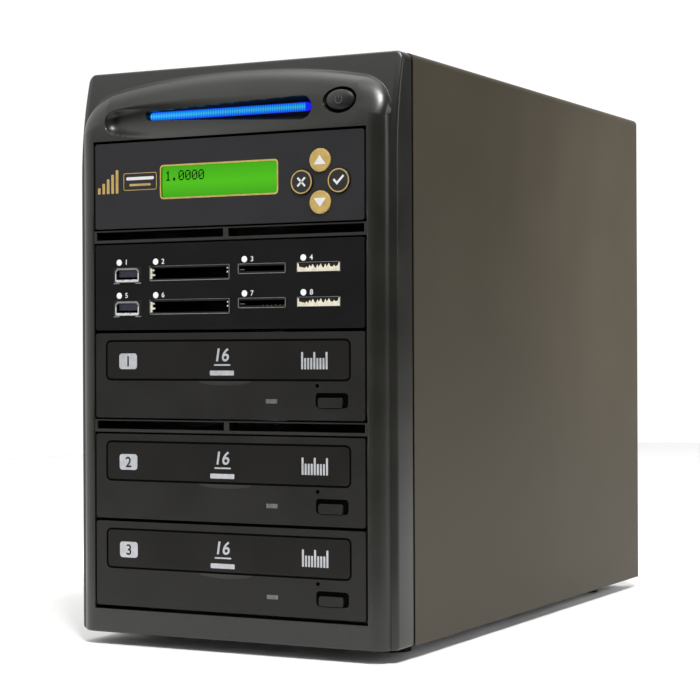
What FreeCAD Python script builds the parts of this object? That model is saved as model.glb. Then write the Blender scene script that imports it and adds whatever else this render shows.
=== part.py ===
import FreeCAD, Part
import math
import os

# Tower with one row of 5.25 inch bays: a control panel, a card reader and three disc drives.
# X runs to the right, Y to the back and Z up. The origin is under the middle of the whole box.

# Overall sizes
side_margin = 13.3
brow_height = 36.0
bezel_depth = 24.4
foot_height = 6.0
front_proud = 0.8
sheet = 1.0
slip = 0.1
seam_gap = 0.8
overrun = 4.0

# Bay devices, from the lowest up
bay_floor = 19.5
panel_lip = 0.7
drive_face_height = 41.0
panel_height = 41.5
pair_gap = 1.5
band_height = 7.8

# Front bezel
bezel_wall = 3.0
window_side_gap = 1.1
window_gap = 0.9
window_floor_gap = 1.9
window_brow_gap = 0.6
brow_gap = 0.7
shell_setback = 6.0
forehead_drop = 16.8
forehead_radius = 180.0
top_corner_radius = 4.0
low_corner_radius = 2.0
pod_inset = 3.7
pod_side_rise = 5.2
pod_shoulder_run = 14.3
pod_shoulder_rise = 25.6
pod_crown_rise = 33.2
pod_shoulder_reach_share = 0.77
pod_shoulder_rise_share = 0.66
pod_bend_rise = 1.2
pod_bend_radius = 56.5
pod_edge_radius = 3.1
cavity_front = 9.0
brow_cavity_front = 17.0
brow_cavity_rise = 3.2
crossbar_setback = 0.5
vent_slot_height = 4.0
vent_lift = 0.4
vent_rib_width = 2.8

# Scoop in the brow of the bezel: a deep round end at the left, and a broad shallow one at the right
scoop_left_inset = 20.8
scoop_left_radius = 6.2
scoop_left_lift = 0.7
scoop_left_rise = 10.0
scoop_right_inset = 21.3
scoop_right_radius = 36.2
scoop_right_lift = 35.4
scoop_right_rise = 13.0

# Light bar and its pocket
bar_left_inset = 36.3
bar_right_inset = 41.3
bar_height = 4.0
bar_rise = 12.2
bar_front = 8.2
pocket_floor = 9.5
pocket_tall = 11.3
pocket_front = 1.0
pocket_drop = 1.1
bar_clearance = 0.15
board_thickness = 1.6
light_board_y = 20.2
light_board_left_end = 5.0
light_board_right_end = 11.7
light_board_height = 16.0
led_count = 6
led_width = 3.5
led_height = 2.6
led_depth = 0.8
standoff_radius = 2.2
standoff_inset = 3.0

# Power button and its switch
button_inset = 23.0
button_rise = 13.5
button_width = 14.4
button_height = 9.4
button_front = 0.8
button_back = 9.0
button_dome = 4.0
button_dome_spread = 1.25
button_ring = 1.7
button_floor = 12.0
button_stem_radius = 2.5
button_foot_radius = 3.4
button_foot_depth = 0.9
button_travel = 2.0
running_fit = 0.05
switch_side = 8.0
switch_depth = 3.2

# Panels that fill the two upper bays, with the arms that carry them
panel_thickness = 3.0
panel_corner_radius = 1.2
arm_beyond = 11.2
arm_wall = 1.2
arm_lift = 0.8
arm_drop = 8.5

# Display
display_gap = 0.7
display_lift = 0.85
display_width = 64.4
display_height = 15.8
display_corner_radius = 1.5
display_recess = 0.8
display_frame_width = 71.0
display_frame_height = 24.0
display_frame_depth = 6.0
display_board_width = 74.0
display_board_height = 36.0

# Keys
key_inset = 22.5
key_drop = 2.35
key_pitch = 9.7
key_radius = 5.8
arrow_key_radius = 5.4
key_gap = 0.3
key_flange = 0.7
key_flange_depth = 0.8
key_travel = 0.5
key_stem_radius = 1.4
key_board_width = 34.0
key_board_height = 32.0
key_board_y = 8.4
tact_side = 6.0
tact_depth = 3.2

# Controller board on the control panel's arms
controller_side_gap = 13.0
controller_back_gap = 13.0
controller_y = 30.0
controller_post_radius = 3.0
controller_post_height = 5.0
controller_post_inset = 6.0
chip_width = 28.0
chip_height = 3.0
connector_width = 12.0
connector_depth = 8.0
connector_height = 9.0
connector_pitch = 18.0
connector_count = 5

# Card reader: each socket has a width, a height, a mouth and a depth, and the panel's spare width
# is shared out between them
socket_rise_share = 0.74
socket_pitch_share = 0.388
socket_rows = 2
socket_gap = 0.1
usb_gap_share = 0.271
usb_width = 16.4
usb_height = 8.2
usb_mouth_width = 12.5
usb_mouth_height = 5.1
usb_depth = 14.0
usb_tongue_width = 11.2
usb_tongue_height = 1.8
compact_gap_share = 0.121
compact_width = 44.7
compact_height = 7.2
compact_mouth_width = 43.2
compact_mouth_height = 5.2
compact_depth = 30.0
memory_gap_share = 0.124
memory_width = 25.6
memory_height = 4.8
memory_mouth_width = 24.4
memory_mouth_height = 2.6
memory_depth = 24.0
stick_gap_share = 0.157
stick_width = 22.7
stick_height = 4.7
stick_mouth_width = 21.8
stick_mouth_height = 3.1
stick_depth = 22.0
socket_back = 2.0
lamp_radius = 1.5
lamp_depth = 4.0
lamp_lift = 2.1
lamp_shift = 3.4
reader_board_gap = 8.0
reader_board_drop = 9.0

# Disc drive: face
drive_face_depth = 5.0
door_shift = -0.7
door_margin = 7.4
door_drop = 4.2
door_height = 17.8
door_depth = 3.6
door_gap = 0.7
door_radius = 2.0
scoop_width = 30.0
scoop_drop = 3.0
scoop_depth = 1.6
eject_inset = 17.8
eject_rise_share = 0.455
eject_width = 12.8
eject_height = 4.6
eject_recess_width = 17.0
eject_recess_height = 7.0
eject_recess_depth = 2.2
eject_recess_radius = 1.8
eject_recess_shift = 0.7
eject_recess_lift = 0.6
eject_drop = 0.5
eject_radius = 1.3
eject_proud = 0.5
eject_gap = 0.3
eject_flange = 1.0
eject_flange_depth = 1.0
eject_travel = 1.0
eject_switch = 4.0
drive_lamp_shift = 31.1
drive_lamp_width = 6.0
drive_lamp_height = 2.0
pin_hole_shift = 6.9
pin_hole_rise_share = 0.84
pin_hole_radius = 0.95

# Disc drive: case, deck and ledges
drive_case_drop = 0.5
drive_case_lift = 0.2
drive_case_spare = 4.0
drive_wall = 0.8
deck_drop = 10.0
deck_thickness = 2.0
deck_front = 10.0
deck_spare = 1.0
ledge_width = 10.0
ledge_thickness = 2.0
socket_block_width = 40.0
socket_block_height = 8.0

# Disc drive: tray and loading gear
tray_lift = 2.6
tray_thickness = 7.0
tray_rim = 3.4
tray_side_gap = 8.2
tray_hold = 16.0
tray_reach = 23.8
disc_radius = 60.6
disc_recess = 2.0
inner_recess_step = 19.6
inner_recess = 1.0
tray_front_rim = 7.4
tray_slot_width = 31.0
tray_slot_spare = 5.0
rack_inset = 18.0
rack_width = 3.0
rack_height = 2.5
gear_teeth = 12
gear_module = 1.5
gear_tooth_share = 0.34
gear_tip_share = 0.16
gear_tooth_out = 1.1
gear_tooth_in = 1.7
gear_gap = 0.3
gear_y = 18.0
gear_axle_radius = 1.6

# Disc drive: spindle and laser sled
spindle_radius = 15.0
spindle_disc = 3.0
spindle_nose_radius = 7.0
spindle_nose = 1.2
spindle_can_radius = 13.0
spindle_can = 1.2
spindle_gap = 0.3
spindle_axle_radius = 1.5
spindle_axle_depth = 2.6
rail_x = 24.0
rail_radius = 1.5
rail_gap = 1.0
rail_spare = 6.0
rail_slot_half_width = 30.0
sled_half_width = 27.0
sled_gap = 4.0
sled_length = 30.0
sled_inner_reach = 26.6
sled_below = 3.5
sled_above = 3.0
lens_radius = 3.5
lens_height = 0.8
lens_inset = 5.0

# Screws
screw_radius = 1.5
screw_clearance = 0.1
screw_head_radius = 3.0
screw_head = 1.8
screw_length = 6.0
slot_width = 0.8
slot_depth = 0.8
device_hole_front = 52.3
device_hole_back = 131.8
device_hole_rise = 10.0

# Chassis
bracket_gap = 0.3
bracket_beyond = 20.0
bracket_rise = 5.2
bracket_lip_gap = 1.6
bracket_slot_height = 9.0
bracket_slot_front_gap = 17.7
bracket_slot_back_gap = 13.8
tray_lip = 12.0
cover_corner_radius = 3.0
cover_return = 10.0
foot_radius = 9.0
foot_taper = 1.0
foot_side_inset = 21.0
foot_front = 45.0
foot_back_inset = 36.5
foot_dimple_radius = 3.0
foot_dimple = 2.0
cover_screw_low = 40.0
cover_screw_pitch = 100.0
cover_screws_per_side = 3
rear_vent_count = 5
rear_vent_pitch = 7.0
rear_vent_height = 3.0
rear_vent_width = 60.0
rear_vent_low = 22.0

# Fans
fan_margin = 3.0
fan_depth = 25.0
fan_wall = 2.0
fan_hole_lip = 0.5
fan_screw_inset = 4.25
fan_strut_width = 4.0
fan_strut_depth = 3.0
fan_hub_radius = 16.0
fan_bearing_radius = 4.0
fan_bearing_length = 13.0
fan_axle_radius = 1.5
rotor_gap = 1.0
rotor_cup_wall = 2.0
rotor_depth = 18.0
blade_count = 7
blade_thickness = 1.4
blade_depth = 15.0
blade_tilt = 38.0
case_fan_z = 100.0
guard_wire = 0.9
guard_rings = 4
guard_eye_radius = 3.6

# Power supply
supply_side_gap = 12.0
supply_roof_gap = 7.0
supply_gap = 4.4
supply_height = 86.0
supply_depth = 140.0
supply_wall = 0.8
supply_rim = 11.0
supply_fan_share = 0.3
inlet_gap_share = 0.25
supply_screw_inset = 6.0
supply_slot_count = 8
supply_slot_width = 3.0
supply_slot_pitch = 8.0
supply_slot_margin = 13.0
inlet_drop = 24.0
inlet_width = 27.0
inlet_height = 22.0
inlet_mouth_width = 24.0
inlet_mouth_height = 17.0
inlet_depth = 18.0
inlet_mouth_depth = 15.5
inlet_flange = 1.5
blade_pin_width = 2.0
blade_pin_height = 4.0
blade_pin_length = 13.0
blade_pin_pitch = 7.0
blade_pin_rise = 3.2
rocker_rise = 24.0
rocker_width = 12.0
rocker_height = 18.0
rocker_depth = 7.0
rocker_proud = 1.6
rocker_gap = 0.6
rocker_house = 1.5
rocker_house_depth = 11.0
rocker_pin_radius = 1.2
rocker_pin_length = 1.2
rocker_swing = 8.0

# Widths and lengths worked out from the disc that the trays carry
tray_half_width = disc_radius + tray_rim
tray_centre = disc_radius + tray_front_rim
tray_travel = disc_radius * 2 + tray_reach
tray_end = tray_travel + tray_hold
tray_slot_end = tray_travel + tray_slot_spare
inner_recess_radius = disc_radius - inner_recess_step
rack_x = tray_half_width - rack_inset
rail_front = tray_centre + spindle_radius + rail_gap
sled_front = rail_front + sled_gap
sled_travel = disc_radius - sled_inner_reach
deck_back = tray_end + deck_spare
drive_case_length = tray_end + drive_case_spare
drive_case_height = drive_face_height - drive_case_drop
device_width = (tray_half_width + tray_side_gap + drive_wall) * 2
panel_width = device_width + panel_lip * 2
case_width = panel_width + side_margin * 2
arm_length = device_hole_back - panel_thickness + arm_beyond
arm_height = panel_height - arm_drop
bracket_back = drive_face_depth + drive_case_length + bracket_beyond
cover_depth = bracket_back - bezel_depth + supply_gap + supply_depth + sheet * 2 + slip
half = case_width / 2
inner_half = half - sheet

# Places on the fronts of the devices
door_rise = drive_face_height - door_height - door_drop
eject_rise = door_rise * eject_rise_share
pin_hole_rise = door_rise * pin_hole_rise_share
tray_rise = door_rise + tray_lift
deck_rise = tray_rise - deck_drop
door_width = panel_width - door_margin * 2
eject_x = panel_width / 2 - eject_inset
drive_lamp_x = eject_x - drive_lamp_shift
pin_hole_x = eject_x - pin_hole_shift
key_x = panel_width / 2 - key_inset
key_rise = panel_height / 2 - key_drop
display_x = key_x - (key_board_width + display_board_width) / 2 - display_gap
display_rise = panel_height / 2 + display_lift
controller_width = device_width - controller_side_gap * 2
controller_length = panel_thickness + arm_length - controller_y - controller_back_gap
socket_row_rise = panel_height * socket_rise_share
socket_row_pitch = panel_height * socket_pitch_share
socket_spare = panel_width - usb_width - compact_width - memory_width - stick_width
usb_left = socket_spare * usb_gap_share - panel_width / 2
compact_left = usb_left + usb_width + socket_spare * compact_gap_share
memory_left = compact_left + compact_width + socket_spare * memory_gap_share
stick_left = memory_left + memory_width + socket_spare * stick_gap_share
reader_board_width = device_width - reader_board_gap * 2

# Places worked out from the sizes above
rear_proud = guard_wire * 2 + screw_head - sheet - slip
front = front_proud - (front_proud + bezel_depth + cover_depth + rear_proud) / 2
seam = front + bezel_depth
back = seam + cover_depth
bezel_back = seam - seam_gap
frame_back = bezel_back + sheet
rear_outer = back - sheet - slip
rear_inner = rear_outer - sheet
floor_top = foot_height + sheet
drive_floors = [bay_floor, bay_floor + drive_face_height + pair_gap]
drive_floors.append(drive_floors[1] + drive_face_height + band_height)
reader_floor = drive_floors[2] + drive_face_height + pair_gap
control_floor = reader_floor + panel_height + band_height
control_top = control_floor + panel_height + brow_gap
top = control_top + brow_height
windows = [
    (bay_floor - window_floor_gap, drive_floors[1] + drive_face_height + window_gap),
    (drive_floors[2] - window_gap, reader_floor + panel_height + window_gap),
    (control_floor - window_gap, control_top + window_brow_gap),
]
roof = top - sheet
bracket_inner = device_width / 2 + bracket_gap
bracket_outer = bracket_inner + sheet
bracket_flange = inner_half - slip - sheet - bracket_lip_gap - bracket_outer
bracket_top = control_top + bracket_rise
bracket_slot_front = device_hole_front + bracket_slot_front_gap
bracket_slot_back = device_hole_back - bracket_slot_back_gap
foot_side = half - foot_side_inset
foot_back = bezel_depth + cover_depth - foot_back_inset
gear_radius = gear_module * gear_teeth / 2

# Places in the brow of the bezel
forehead_start = control_top - forehead_drop
pod_half_width = half - pod_inset
pod_side_top = control_top + pod_side_rise
pod_shoulder_x = pod_half_width - pod_shoulder_run
pod_shoulder_z = control_top + pod_shoulder_rise
pod_crown_z = control_top + pod_crown_rise
pod_bend_start = control_top + pod_bend_rise
brow_cavity_floor = control_top + brow_cavity_rise
scoop_left = scoop_left_inset - pod_half_width
scoop_left_z = control_top + scoop_left_rise
scoop_right = pod_half_width - scoop_right_inset
scoop_right_z = control_top + scoop_right_rise
bar_left = bar_left_inset - pod_half_width
bar_right = pod_half_width - bar_right_inset
bar_z = control_top + bar_rise
button_x = pod_half_width - button_inset
button_z = control_top + button_rise
light_board_left = bar_left - light_board_left_end
light_board_right = button_x + light_board_right_end

# Places at the back
fan_side = supply_height - fan_margin * 2
fan_bore_radius = fan_side / 2 - fan_wall
fan_hole_radius = fan_bore_radius - fan_hole_lip
fan_screw_pitch = fan_side - fan_screw_inset * 2
supply_width = case_width - supply_side_gap * 2
supply_low = roof - supply_roof_gap - supply_height
supply_spare = supply_width - fan_side - inlet_width
supply_fan_x = supply_spare * supply_fan_share + (fan_side - supply_width) / 2
inlet_x = supply_fan_x + (fan_side + inlet_width) / 2 + supply_spare * inlet_gap_share
inlet_rise = supply_height - inlet_drop
supply_screw_x = supply_width / 2 - supply_screw_inset
supply_screw_z = supply_height / 2 - supply_screw_inset
supply_slot_height = supply_height - supply_slot_margin * 2
VX = FreeCAD.Vector(1, 0, 0)
VY = FreeCAD.Vector(0, 1, 0)
VZ = FreeCAD.Vector(0, 0, 1)


def point(x, y, z):
    return FreeCAD.Vector(x, y, z)


def block(x0, x1, y0, y1, z0, z1):
    """Box between two corners."""
    return Part.makeBox(x1 - x0, y1 - y0, z1 - z0, point(x0, y0, z0))


def slab(x, z, width, height, y0, y1):
    """Box centred on x and z, from y0 to y1."""
    return block(x - width / 2, x + width / 2, y0, y1, z - height / 2, z + height / 2)


def rod_y(radius, x, z, y0, y1):
    return Part.makeCylinder(radius, y1 - y0, point(x, y0, z), VY)


def rod_z(radius, x, y, z0, z1):
    return Part.makeCylinder(radius, z1 - z0, point(x, y, z0), VZ)


def rod_x(radius, y, z, x0, x1):
    return Part.makeCylinder(radius, x1 - x0, point(x0, y, z), VX)


def joined(shapes):
    """One solid from pieces that touch or overlap."""
    solid = shapes[0].multiFuse(shapes[1:]) if len(shapes) > 1 else shapes[0]
    return solid.removeSplitter()


def cut(shape, tools):
    return shape.cut(Part.makeCompound(tools)) if tools else shape


def along(edge, axis):
    """True where an edge is straight and runs along an axis."""
    if not isinstance(edge.Curve, Part.Line):
        return False
    direction = edge.Curve.Direction
    return abs(abs(direction.dot(axis)) - 1) < 1e-6


def round_edges(shape, radius, wanted):
    """Fillet the edges that a test picks."""
    return shape.makeFillet(radius, [edge for edge in shape.Edges if wanted(edge)])


def rounded_slab(x, z, width, height, y0, y1, radius):
    """Slab with its four edges along Y rounded."""
    body = slab(x, z, width, height, y0, y1)
    return round_edges(body, radius, lambda edge: along(edge, VY))


def ellipse_rod(x, z, width, height, y0, y1):
    """Elliptical prism along Y."""
    curve = Part.Ellipse(point(x + width / 2, y0, z), point(x, y0, z + height / 2), point(x, y0, z))
    face = Part.Face(Part.Wire(curve.toShape()))
    return face.extrude(VY * (y1 - y0))


def bowl(x, y, z, half_x, half_y, half_z):
    """Ellipsoid about a centre."""
    ball = Part.makeSphere(1.0)
    matrix = FreeCAD.Matrix()
    matrix.scale(half_x, half_y, half_z)
    matrix.move(point(x, y, z))
    return ball.transformGeometry(matrix)


def arc(start, middle, end):
    return Part.Arc(start, middle, end).toShape()


def line(start, end):
    return Part.LineSegment(start, end).toShape()


def screw_y(x, z, y_seat):
    """Pan head screw driven forward from a seat that faces the back."""
    head = rod_y(screw_head_radius, x, z, y_seat, y_seat + screw_head)
    shank = rod_y(screw_radius, x, z, y_seat - screw_length, y_seat)
    slot_front = y_seat + screw_head - slot_depth
    across = slab(x, z, screw_head_radius * 2, slot_width, slot_front, back + overrun)
    upright = slab(x, z, slot_width, screw_head_radius * 2, slot_front, back + overrun)
    return cut(joined([head, shank]), [across, upright])


def screw_x(side, y, z, x_seat):
    """Pan head screw driven inwards from a seat on one side of the cage."""
    outer = x_seat + screw_head
    head = rod_x(screw_head_radius, y, z, x_seat, outer)
    shank = rod_x(screw_radius, y, z, x_seat - screw_length, x_seat)
    across = block(outer - slot_depth, half, y - screw_head_radius, y + screw_head_radius,
                   z - slot_width / 2, z + slot_width / 2)
    upright = block(outer - slot_depth, half, y - slot_width / 2, y + slot_width / 2,
                    z - screw_head_radius, z + screw_head_radius)
    screw = cut(joined([head, shank]), [across, upright])
    return screw if side > 0 else screw.mirror(point(0, 0, 0), VX)


# Front bezel

def arc_depth(z, start, radius):
    """Setback of a round brow at a height above the start of its bend."""
    rise = max(z - start, 0)
    return radius - math.sqrt(radius * radius - rise * rise)


def brow_block(setback, start, radius, z_top, x0, x1):
    """Block whose front is upright at first and then bends back in an arc."""
    middle = (start + z_top) / 2

    def spot(z):
        return point(x0, front + setback + arc_depth(z, start, radius), z)

    low_front = point(x0, front + setback, foot_height)
    low_back = point(x0, bezel_back, foot_height)
    high_back = point(x0, bezel_back, z_top)
    edges = [
        line(low_front, spot(start)),
        arc(spot(start), spot(middle), spot(z_top)),
        line(spot(z_top), high_back),
        line(high_back, low_back),
        line(low_back, low_front),
    ]
    return Part.Face(Part.Wire(edges)).extrude(VX * (x1 - x0))


def pod_outline():
    """Arched outline of the raised face, as a prism along Y."""
    reach = pod_half_width - pod_shoulder_x
    rise = pod_shoulder_z - pod_side_top
    shoulder_x = pod_shoulder_x + reach * pod_shoulder_reach_share
    shoulder_z = pod_side_top + rise * pod_shoulder_rise_share
    y = front - overrun

    def spot(x, z):
        return point(x, y, z)

    edges = [
        line(spot(-pod_half_width, foot_height), spot(-pod_half_width, pod_side_top)),
        arc(spot(-pod_half_width, pod_side_top), spot(-shoulder_x, shoulder_z),
            spot(-pod_shoulder_x, pod_shoulder_z)),
        arc(spot(-pod_shoulder_x, pod_shoulder_z), spot(0, pod_crown_z),
            spot(pod_shoulder_x, pod_shoulder_z)),
        arc(spot(pod_shoulder_x, pod_shoulder_z), spot(shoulder_x, shoulder_z),
            spot(pod_half_width, pod_side_top)),
        line(spot(pod_half_width, pod_side_top), spot(pod_half_width, foot_height)),
        line(spot(pod_half_width, foot_height), spot(-pod_half_width, foot_height)),
    ]
    return Part.Face(Part.Wire(edges)).extrude(VY * (bezel_back - y))


def bezel_shell():
    """Outer shell of the bezel, with its corners rounded."""
    shell = brow_block(shell_setback, forehead_start, forehead_radius, top, -half, half)
    corners = round_edges(
        shell, top_corner_radius,
        lambda edge: along(edge, VY) and edge.BoundBox.ZMin > pod_crown_z)
    return round_edges(
        corners, low_corner_radius,
        lambda edge: along(edge, VY) and edge.BoundBox.ZMax < foot_height + slip)


def bezel_pod():
    """Raised face of the bezel, with a soft edge where it stands off the shell."""
    face = brow_block(0, pod_bend_start, pod_bend_radius, top, -half, half)
    pod = face.common(pod_outline())

    def front_edge(edge):
        box = edge.BoundBox
        upright = along(edge, VZ) and box.YMax < front + slip
        arched = box.ZMax > pod_side_top + slip and box.YMax < bezel_back - slip
        return upright or (arched and not along(edge, VY) and box.YMax - box.YMin > 0)

    return round_edges(pod, pod_edge_radius, front_edge)


def taper_slot(y, left, right, radius_left, radius_right, z_left, z_right):
    """Outline of a slot that widens from one round end to the other."""
    low_left = point(left, y, z_left - radius_left)
    high_left = point(left, y, z_left + radius_left)
    low_right = point(right, y, z_right - radius_right)
    high_right = point(right, y, z_right + radius_right)
    edges = [
        line(low_left, low_right),
        arc(low_right, point(right + radius_right, y, z_right), high_right),
        line(high_right, high_left),
        arc(high_left, point(left - radius_left, y, z_left), low_left),
    ]
    return Part.Wire(edges)


def scoop():
    """Channel across the brow, from a small deep end to a broad shallow one."""
    left = point(scoop_left, front - scoop_left_lift, scoop_left_z)
    right = point(scoop_right, front - scoop_right_lift, scoop_right_z)
    run = right - left
    channel = Part.makeCone(scoop_left_radius, scoop_right_radius, run.Length, left, run)
    ends = [Part.makeSphere(scoop_left_radius, left), Part.makeSphere(scoop_right_radius, right)]
    return joined([channel] + ends)


def light_pocket():
    """Flared pocket round the light bar, open to the scoop ahead of it."""
    end = bar_height / 2
    wide = pocket_tall / 2
    outer = taper_slot(front + pocket_front, bar_left + end, bar_right - end,
                       end + slip, wide, bar_z, bar_z - pocket_drop)
    inner = taper_slot(front + pocket_floor, bar_left + end, bar_right - end,
                       end + slip, end + slip, bar_z, bar_z)
    mouth = Part.Face(outer).extrude(VY * -overrun)
    return joined([Part.makeLoft([outer, inner], True, True), mouth])


def bar_prism(y0, y1, grow):
    """Stadium prism of the light bar, grown by a clearance."""
    end = bar_height / 2
    outline = taper_slot(y0, bar_left + end, bar_right - end, end + grow, end + grow, bar_z, bar_z)
    return Part.Face(outline).extrude(VY * (y1 - y0))


def light_standoffs():
    """Places of the posts that hold the light board."""
    z_low = bar_z - light_board_height / 2 + standoff_inset
    z_high = bar_z + light_board_height / 2 - standoff_inset
    x_left = light_board_left + standoff_inset
    x_right = light_board_right - standoff_inset
    return [(x_left, z_low), (x_left, z_high), (x_right, z_low), (x_right, z_high)]


def front_bezel():
    """Moulded front: shell, raised face, windows for the bays, vents and the brow's recesses."""
    body = joined([bezel_shell(), bezel_pod()])
    wall_x = half - bezel_wall
    deep = bezel_back + overrun
    tools = [
        block(-wall_x, wall_x, front + cavity_front, deep, foot_height + bezel_wall,
              brow_cavity_floor - bezel_wall),
        block(-wall_x, wall_x, front + brow_cavity_front, deep, brow_cavity_floor,
              top - bezel_wall),
    ]
    window_half = panel_width / 2 + window_side_gap
    for low, high in windows:
        tools.append(block(-window_half, window_half, front - overrun, deep, low, high))
    for lower, upper in zip(windows, windows[1:]):
        middle = (lower[1] + upper[0]) / 2 + vent_lift
        trim = block(-window_half, window_half, front - overrun, front + crossbar_setback,
                     lower[1], upper[0])
        tools.append(trim)
        for side in (-1, 1):
            inner = vent_rib_width / 2
            outer = window_half - vent_rib_width / 2
            x0, x1 = sorted((side * inner, side * outer))
            tools.append(block(x0, x1, front - overrun, deep,
                               middle - vent_slot_height / 2, middle + vent_slot_height / 2))
    tools.append(scoop())
    tools.append(light_pocket())
    tools.append(bar_prism(front + bar_front, deep, bar_clearance))
    ring = button_ring * 2
    tools.append(ellipse_rod(button_x, button_z, button_width + ring, button_height + ring,
                             front - overrun, front + button_floor))
    tools.append(rod_y(button_stem_radius + running_fit, button_x, button_z, front, deep))
    body = cut(body, tools)
    posts = [rod_y(standoff_radius, x, z, front + brow_cavity_front - bezel_wall,
                   front + light_board_y) for x, z in light_standoffs()]
    return joined([body] + posts)


def light_bar():
    """Clear bar that spreads the light of the lamps behind it."""
    return bar_prism(front + bar_front, front + light_board_y - led_depth, 0)


def light_board():
    """Board behind the brow with the lamps and the power switch."""
    y = front + light_board_y
    z0 = bar_z - light_board_height / 2
    board = block(light_board_left, light_board_right, y, y + board_thickness,
                  z0, z0 + light_board_height)
    pitch = (bar_right - bar_left) / led_count
    lamps = [slab(bar_left + pitch * (index + 0.5), bar_z, led_width, led_height,
                  y - led_depth, y) for index in range(led_count)]
    switch_y = front + brow_cavity_front + button_foot_depth + button_travel + slip
    switch = slab(button_x, button_z, switch_side, switch_side, switch_y, switch_y + switch_depth)
    return joined([board, switch] + lamps)


def power_button():
    """Oval cap on a stem, held behind the bezel by a foot."""
    cap = ellipse_rod(button_x, button_z, button_width, button_height,
                      front + button_front, front + button_back)
    dome = bowl(button_x, front + button_front + button_dome, button_z,
                button_width / 2 * button_dome_spread, button_dome,
                button_height / 2 * button_dome_spread)
    cap = cap.common(dome)
    foot_y = front + brow_cavity_front
    stem = rod_y(button_stem_radius, button_x, button_z, front + button_back - button_dome, foot_y)
    foot = rod_y(button_foot_radius, button_x, button_z, foot_y, foot_y + button_foot_depth)
    return joined([cap, stem, foot])


# Panels of the two upper bays

def bay_panel(floor):
    """Face plate with the arms and the floor that slide into a bay."""
    face = rounded_slab(0, floor + panel_height / 2, panel_width, panel_height,
                        front, front + panel_thickness, panel_corner_radius)
    y0 = front + panel_thickness
    y1 = y0 + arm_length
    z0 = floor + arm_lift
    outer = device_width / 2
    shelf = block(-outer, outer, y0, y1, z0, z0 + arm_wall)
    left = block(-outer, arm_wall - outer, y0, y1, z0, z0 + arm_height)
    right = block(outer - arm_wall, outer, y0, y1, z0, z0 + arm_height)
    body = joined([face, shelf, left, right])
    holes = [rod_x(screw_radius + screw_clearance, y, floor + device_hole_rise, -half, half)
             for y in device_screw_rows()]
    return cut(body, holes)


def device_screw_rows():
    return [front + device_hole_front, front + device_hole_back]


def key_places():
    """Names, centres and radii of the four round keys."""
    z = control_floor + key_rise
    return {
        "key_up": (key_x, z + key_pitch, arrow_key_radius),
        "key_down": (key_x, z - key_pitch, arrow_key_radius),
        "key_back": (key_x - key_pitch, z, key_radius),
        "key_enter": (key_x + key_pitch, z, key_radius),
    }


def controller_posts():
    """Centres of the four posts under the controller board."""
    y0 = front + controller_y + controller_post_inset
    y1 = front + controller_y + controller_length - controller_post_inset
    x = controller_width / 2 - controller_post_inset
    return [(-x, y0), (x, y0), (-x, y1), (x, y1)]


def control_panel():
    """Face of the top bay, open for the display and the four keys."""
    body = bay_panel(control_floor)
    deep = front + panel_thickness + overrun
    tools = [rounded_slab(display_x, control_floor + display_rise, display_width, display_height,
                          front - overrun, deep, display_corner_radius)]
    for x, z, radius in key_places().values():
        tools.append(rod_y(radius + key_gap, x, z, front - overrun, deep))
    shelf_top = control_floor + arm_lift + arm_wall
    posts = [rod_z(controller_post_radius, x, y, shelf_top, shelf_top + controller_post_height)
             for x, y in controller_posts()]
    return joined([cut(body, tools)] + posts)


def display_module():
    """Display glass in its frame on a small board, seated behind the panel."""
    z = control_floor + display_rise
    y0 = front + panel_thickness
    y1 = y0 + display_frame_depth
    glass = rounded_slab(display_x, z, display_width - slip * 2, display_height - slip * 2,
                         front + display_recess, y0, display_corner_radius)
    frame = slab(display_x, z, display_frame_width, display_frame_height, y0, y1)
    board = slab(display_x, z, display_board_width, display_board_height, y1,
                 y1 + board_thickness)
    return joined([glass, frame, board])


def round_key(x, z, radius):
    """Round key with a flange that stops it behind the panel."""
    cap = rod_y(radius, x, z, front - front_proud, front + panel_thickness)
    rim_y = front - front_proud
    cap = cap.makeFillet(key_gap, [edge for edge in cap.Edges if edge.BoundBox.YMax < rim_y + slip])
    flange_back = front + panel_thickness + key_flange_depth
    flange = rod_y(radius + key_flange, x, z, front + panel_thickness, flange_back)
    stem_back = front + key_board_y - tact_depth - key_travel - slip
    stem = rod_y(key_stem_radius, x, z, flange_back, stem_back)
    return joined([cap, flange, stem])


def key_board():
    """Board behind the keys, with a small switch under each."""
    z = control_floor + key_rise
    y = front + key_board_y
    board = slab(key_x, z, key_board_width, key_board_height, y, y + board_thickness)
    switches = [slab(x, place_z, tact_side, tact_side, y - tact_depth, y)
                for x, place_z, _ in key_places().values()]
    return joined([board] + switches)


def controller_board():
    """Board that copies the discs, with its chip and a row of drive connectors."""
    z0 = control_floor + arm_lift + arm_wall + controller_post_height
    z1 = z0 + board_thickness
    y0 = front + controller_y
    y1 = y0 + controller_length
    x = controller_width / 2
    board = block(-x, x, y0, y1, z0, z1)
    middle_y = (y0 + y1) / 2
    chip = block(-chip_width / 2, chip_width / 2, middle_y - chip_width / 2,
                 middle_y + chip_width / 2, z1, z1 + chip_height)
    first = -connector_pitch * (connector_count - 1) / 2
    connectors = []
    for index in range(connector_count):
        centre = first + connector_pitch * index
        connectors.append(block(centre - connector_width / 2, centre + connector_width / 2,
                                y1 - connector_depth, y1, z1, z1 + connector_height))
    return joined([board, chip] + connectors)


# Card reader

def socket_tops():
    return [reader_floor + socket_row_rise - socket_row_pitch * row for row in range(socket_rows)]


def socket_bodies(left, width, height, mouth_width, mouth_height, depth):
    """One socket in each row: a box with a mouth in its front."""
    bodies = []
    for z_top in socket_tops():
        x = left + width / 2
        z = z_top - height / 2
        shell = slab(x, z, width, height, front, front + depth)
        mouth = slab(x, z, mouth_width, mouth_height, front - overrun,
                     front + depth - socket_back)
        bodies.append(shell.cut(mouth))
    return bodies


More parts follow.
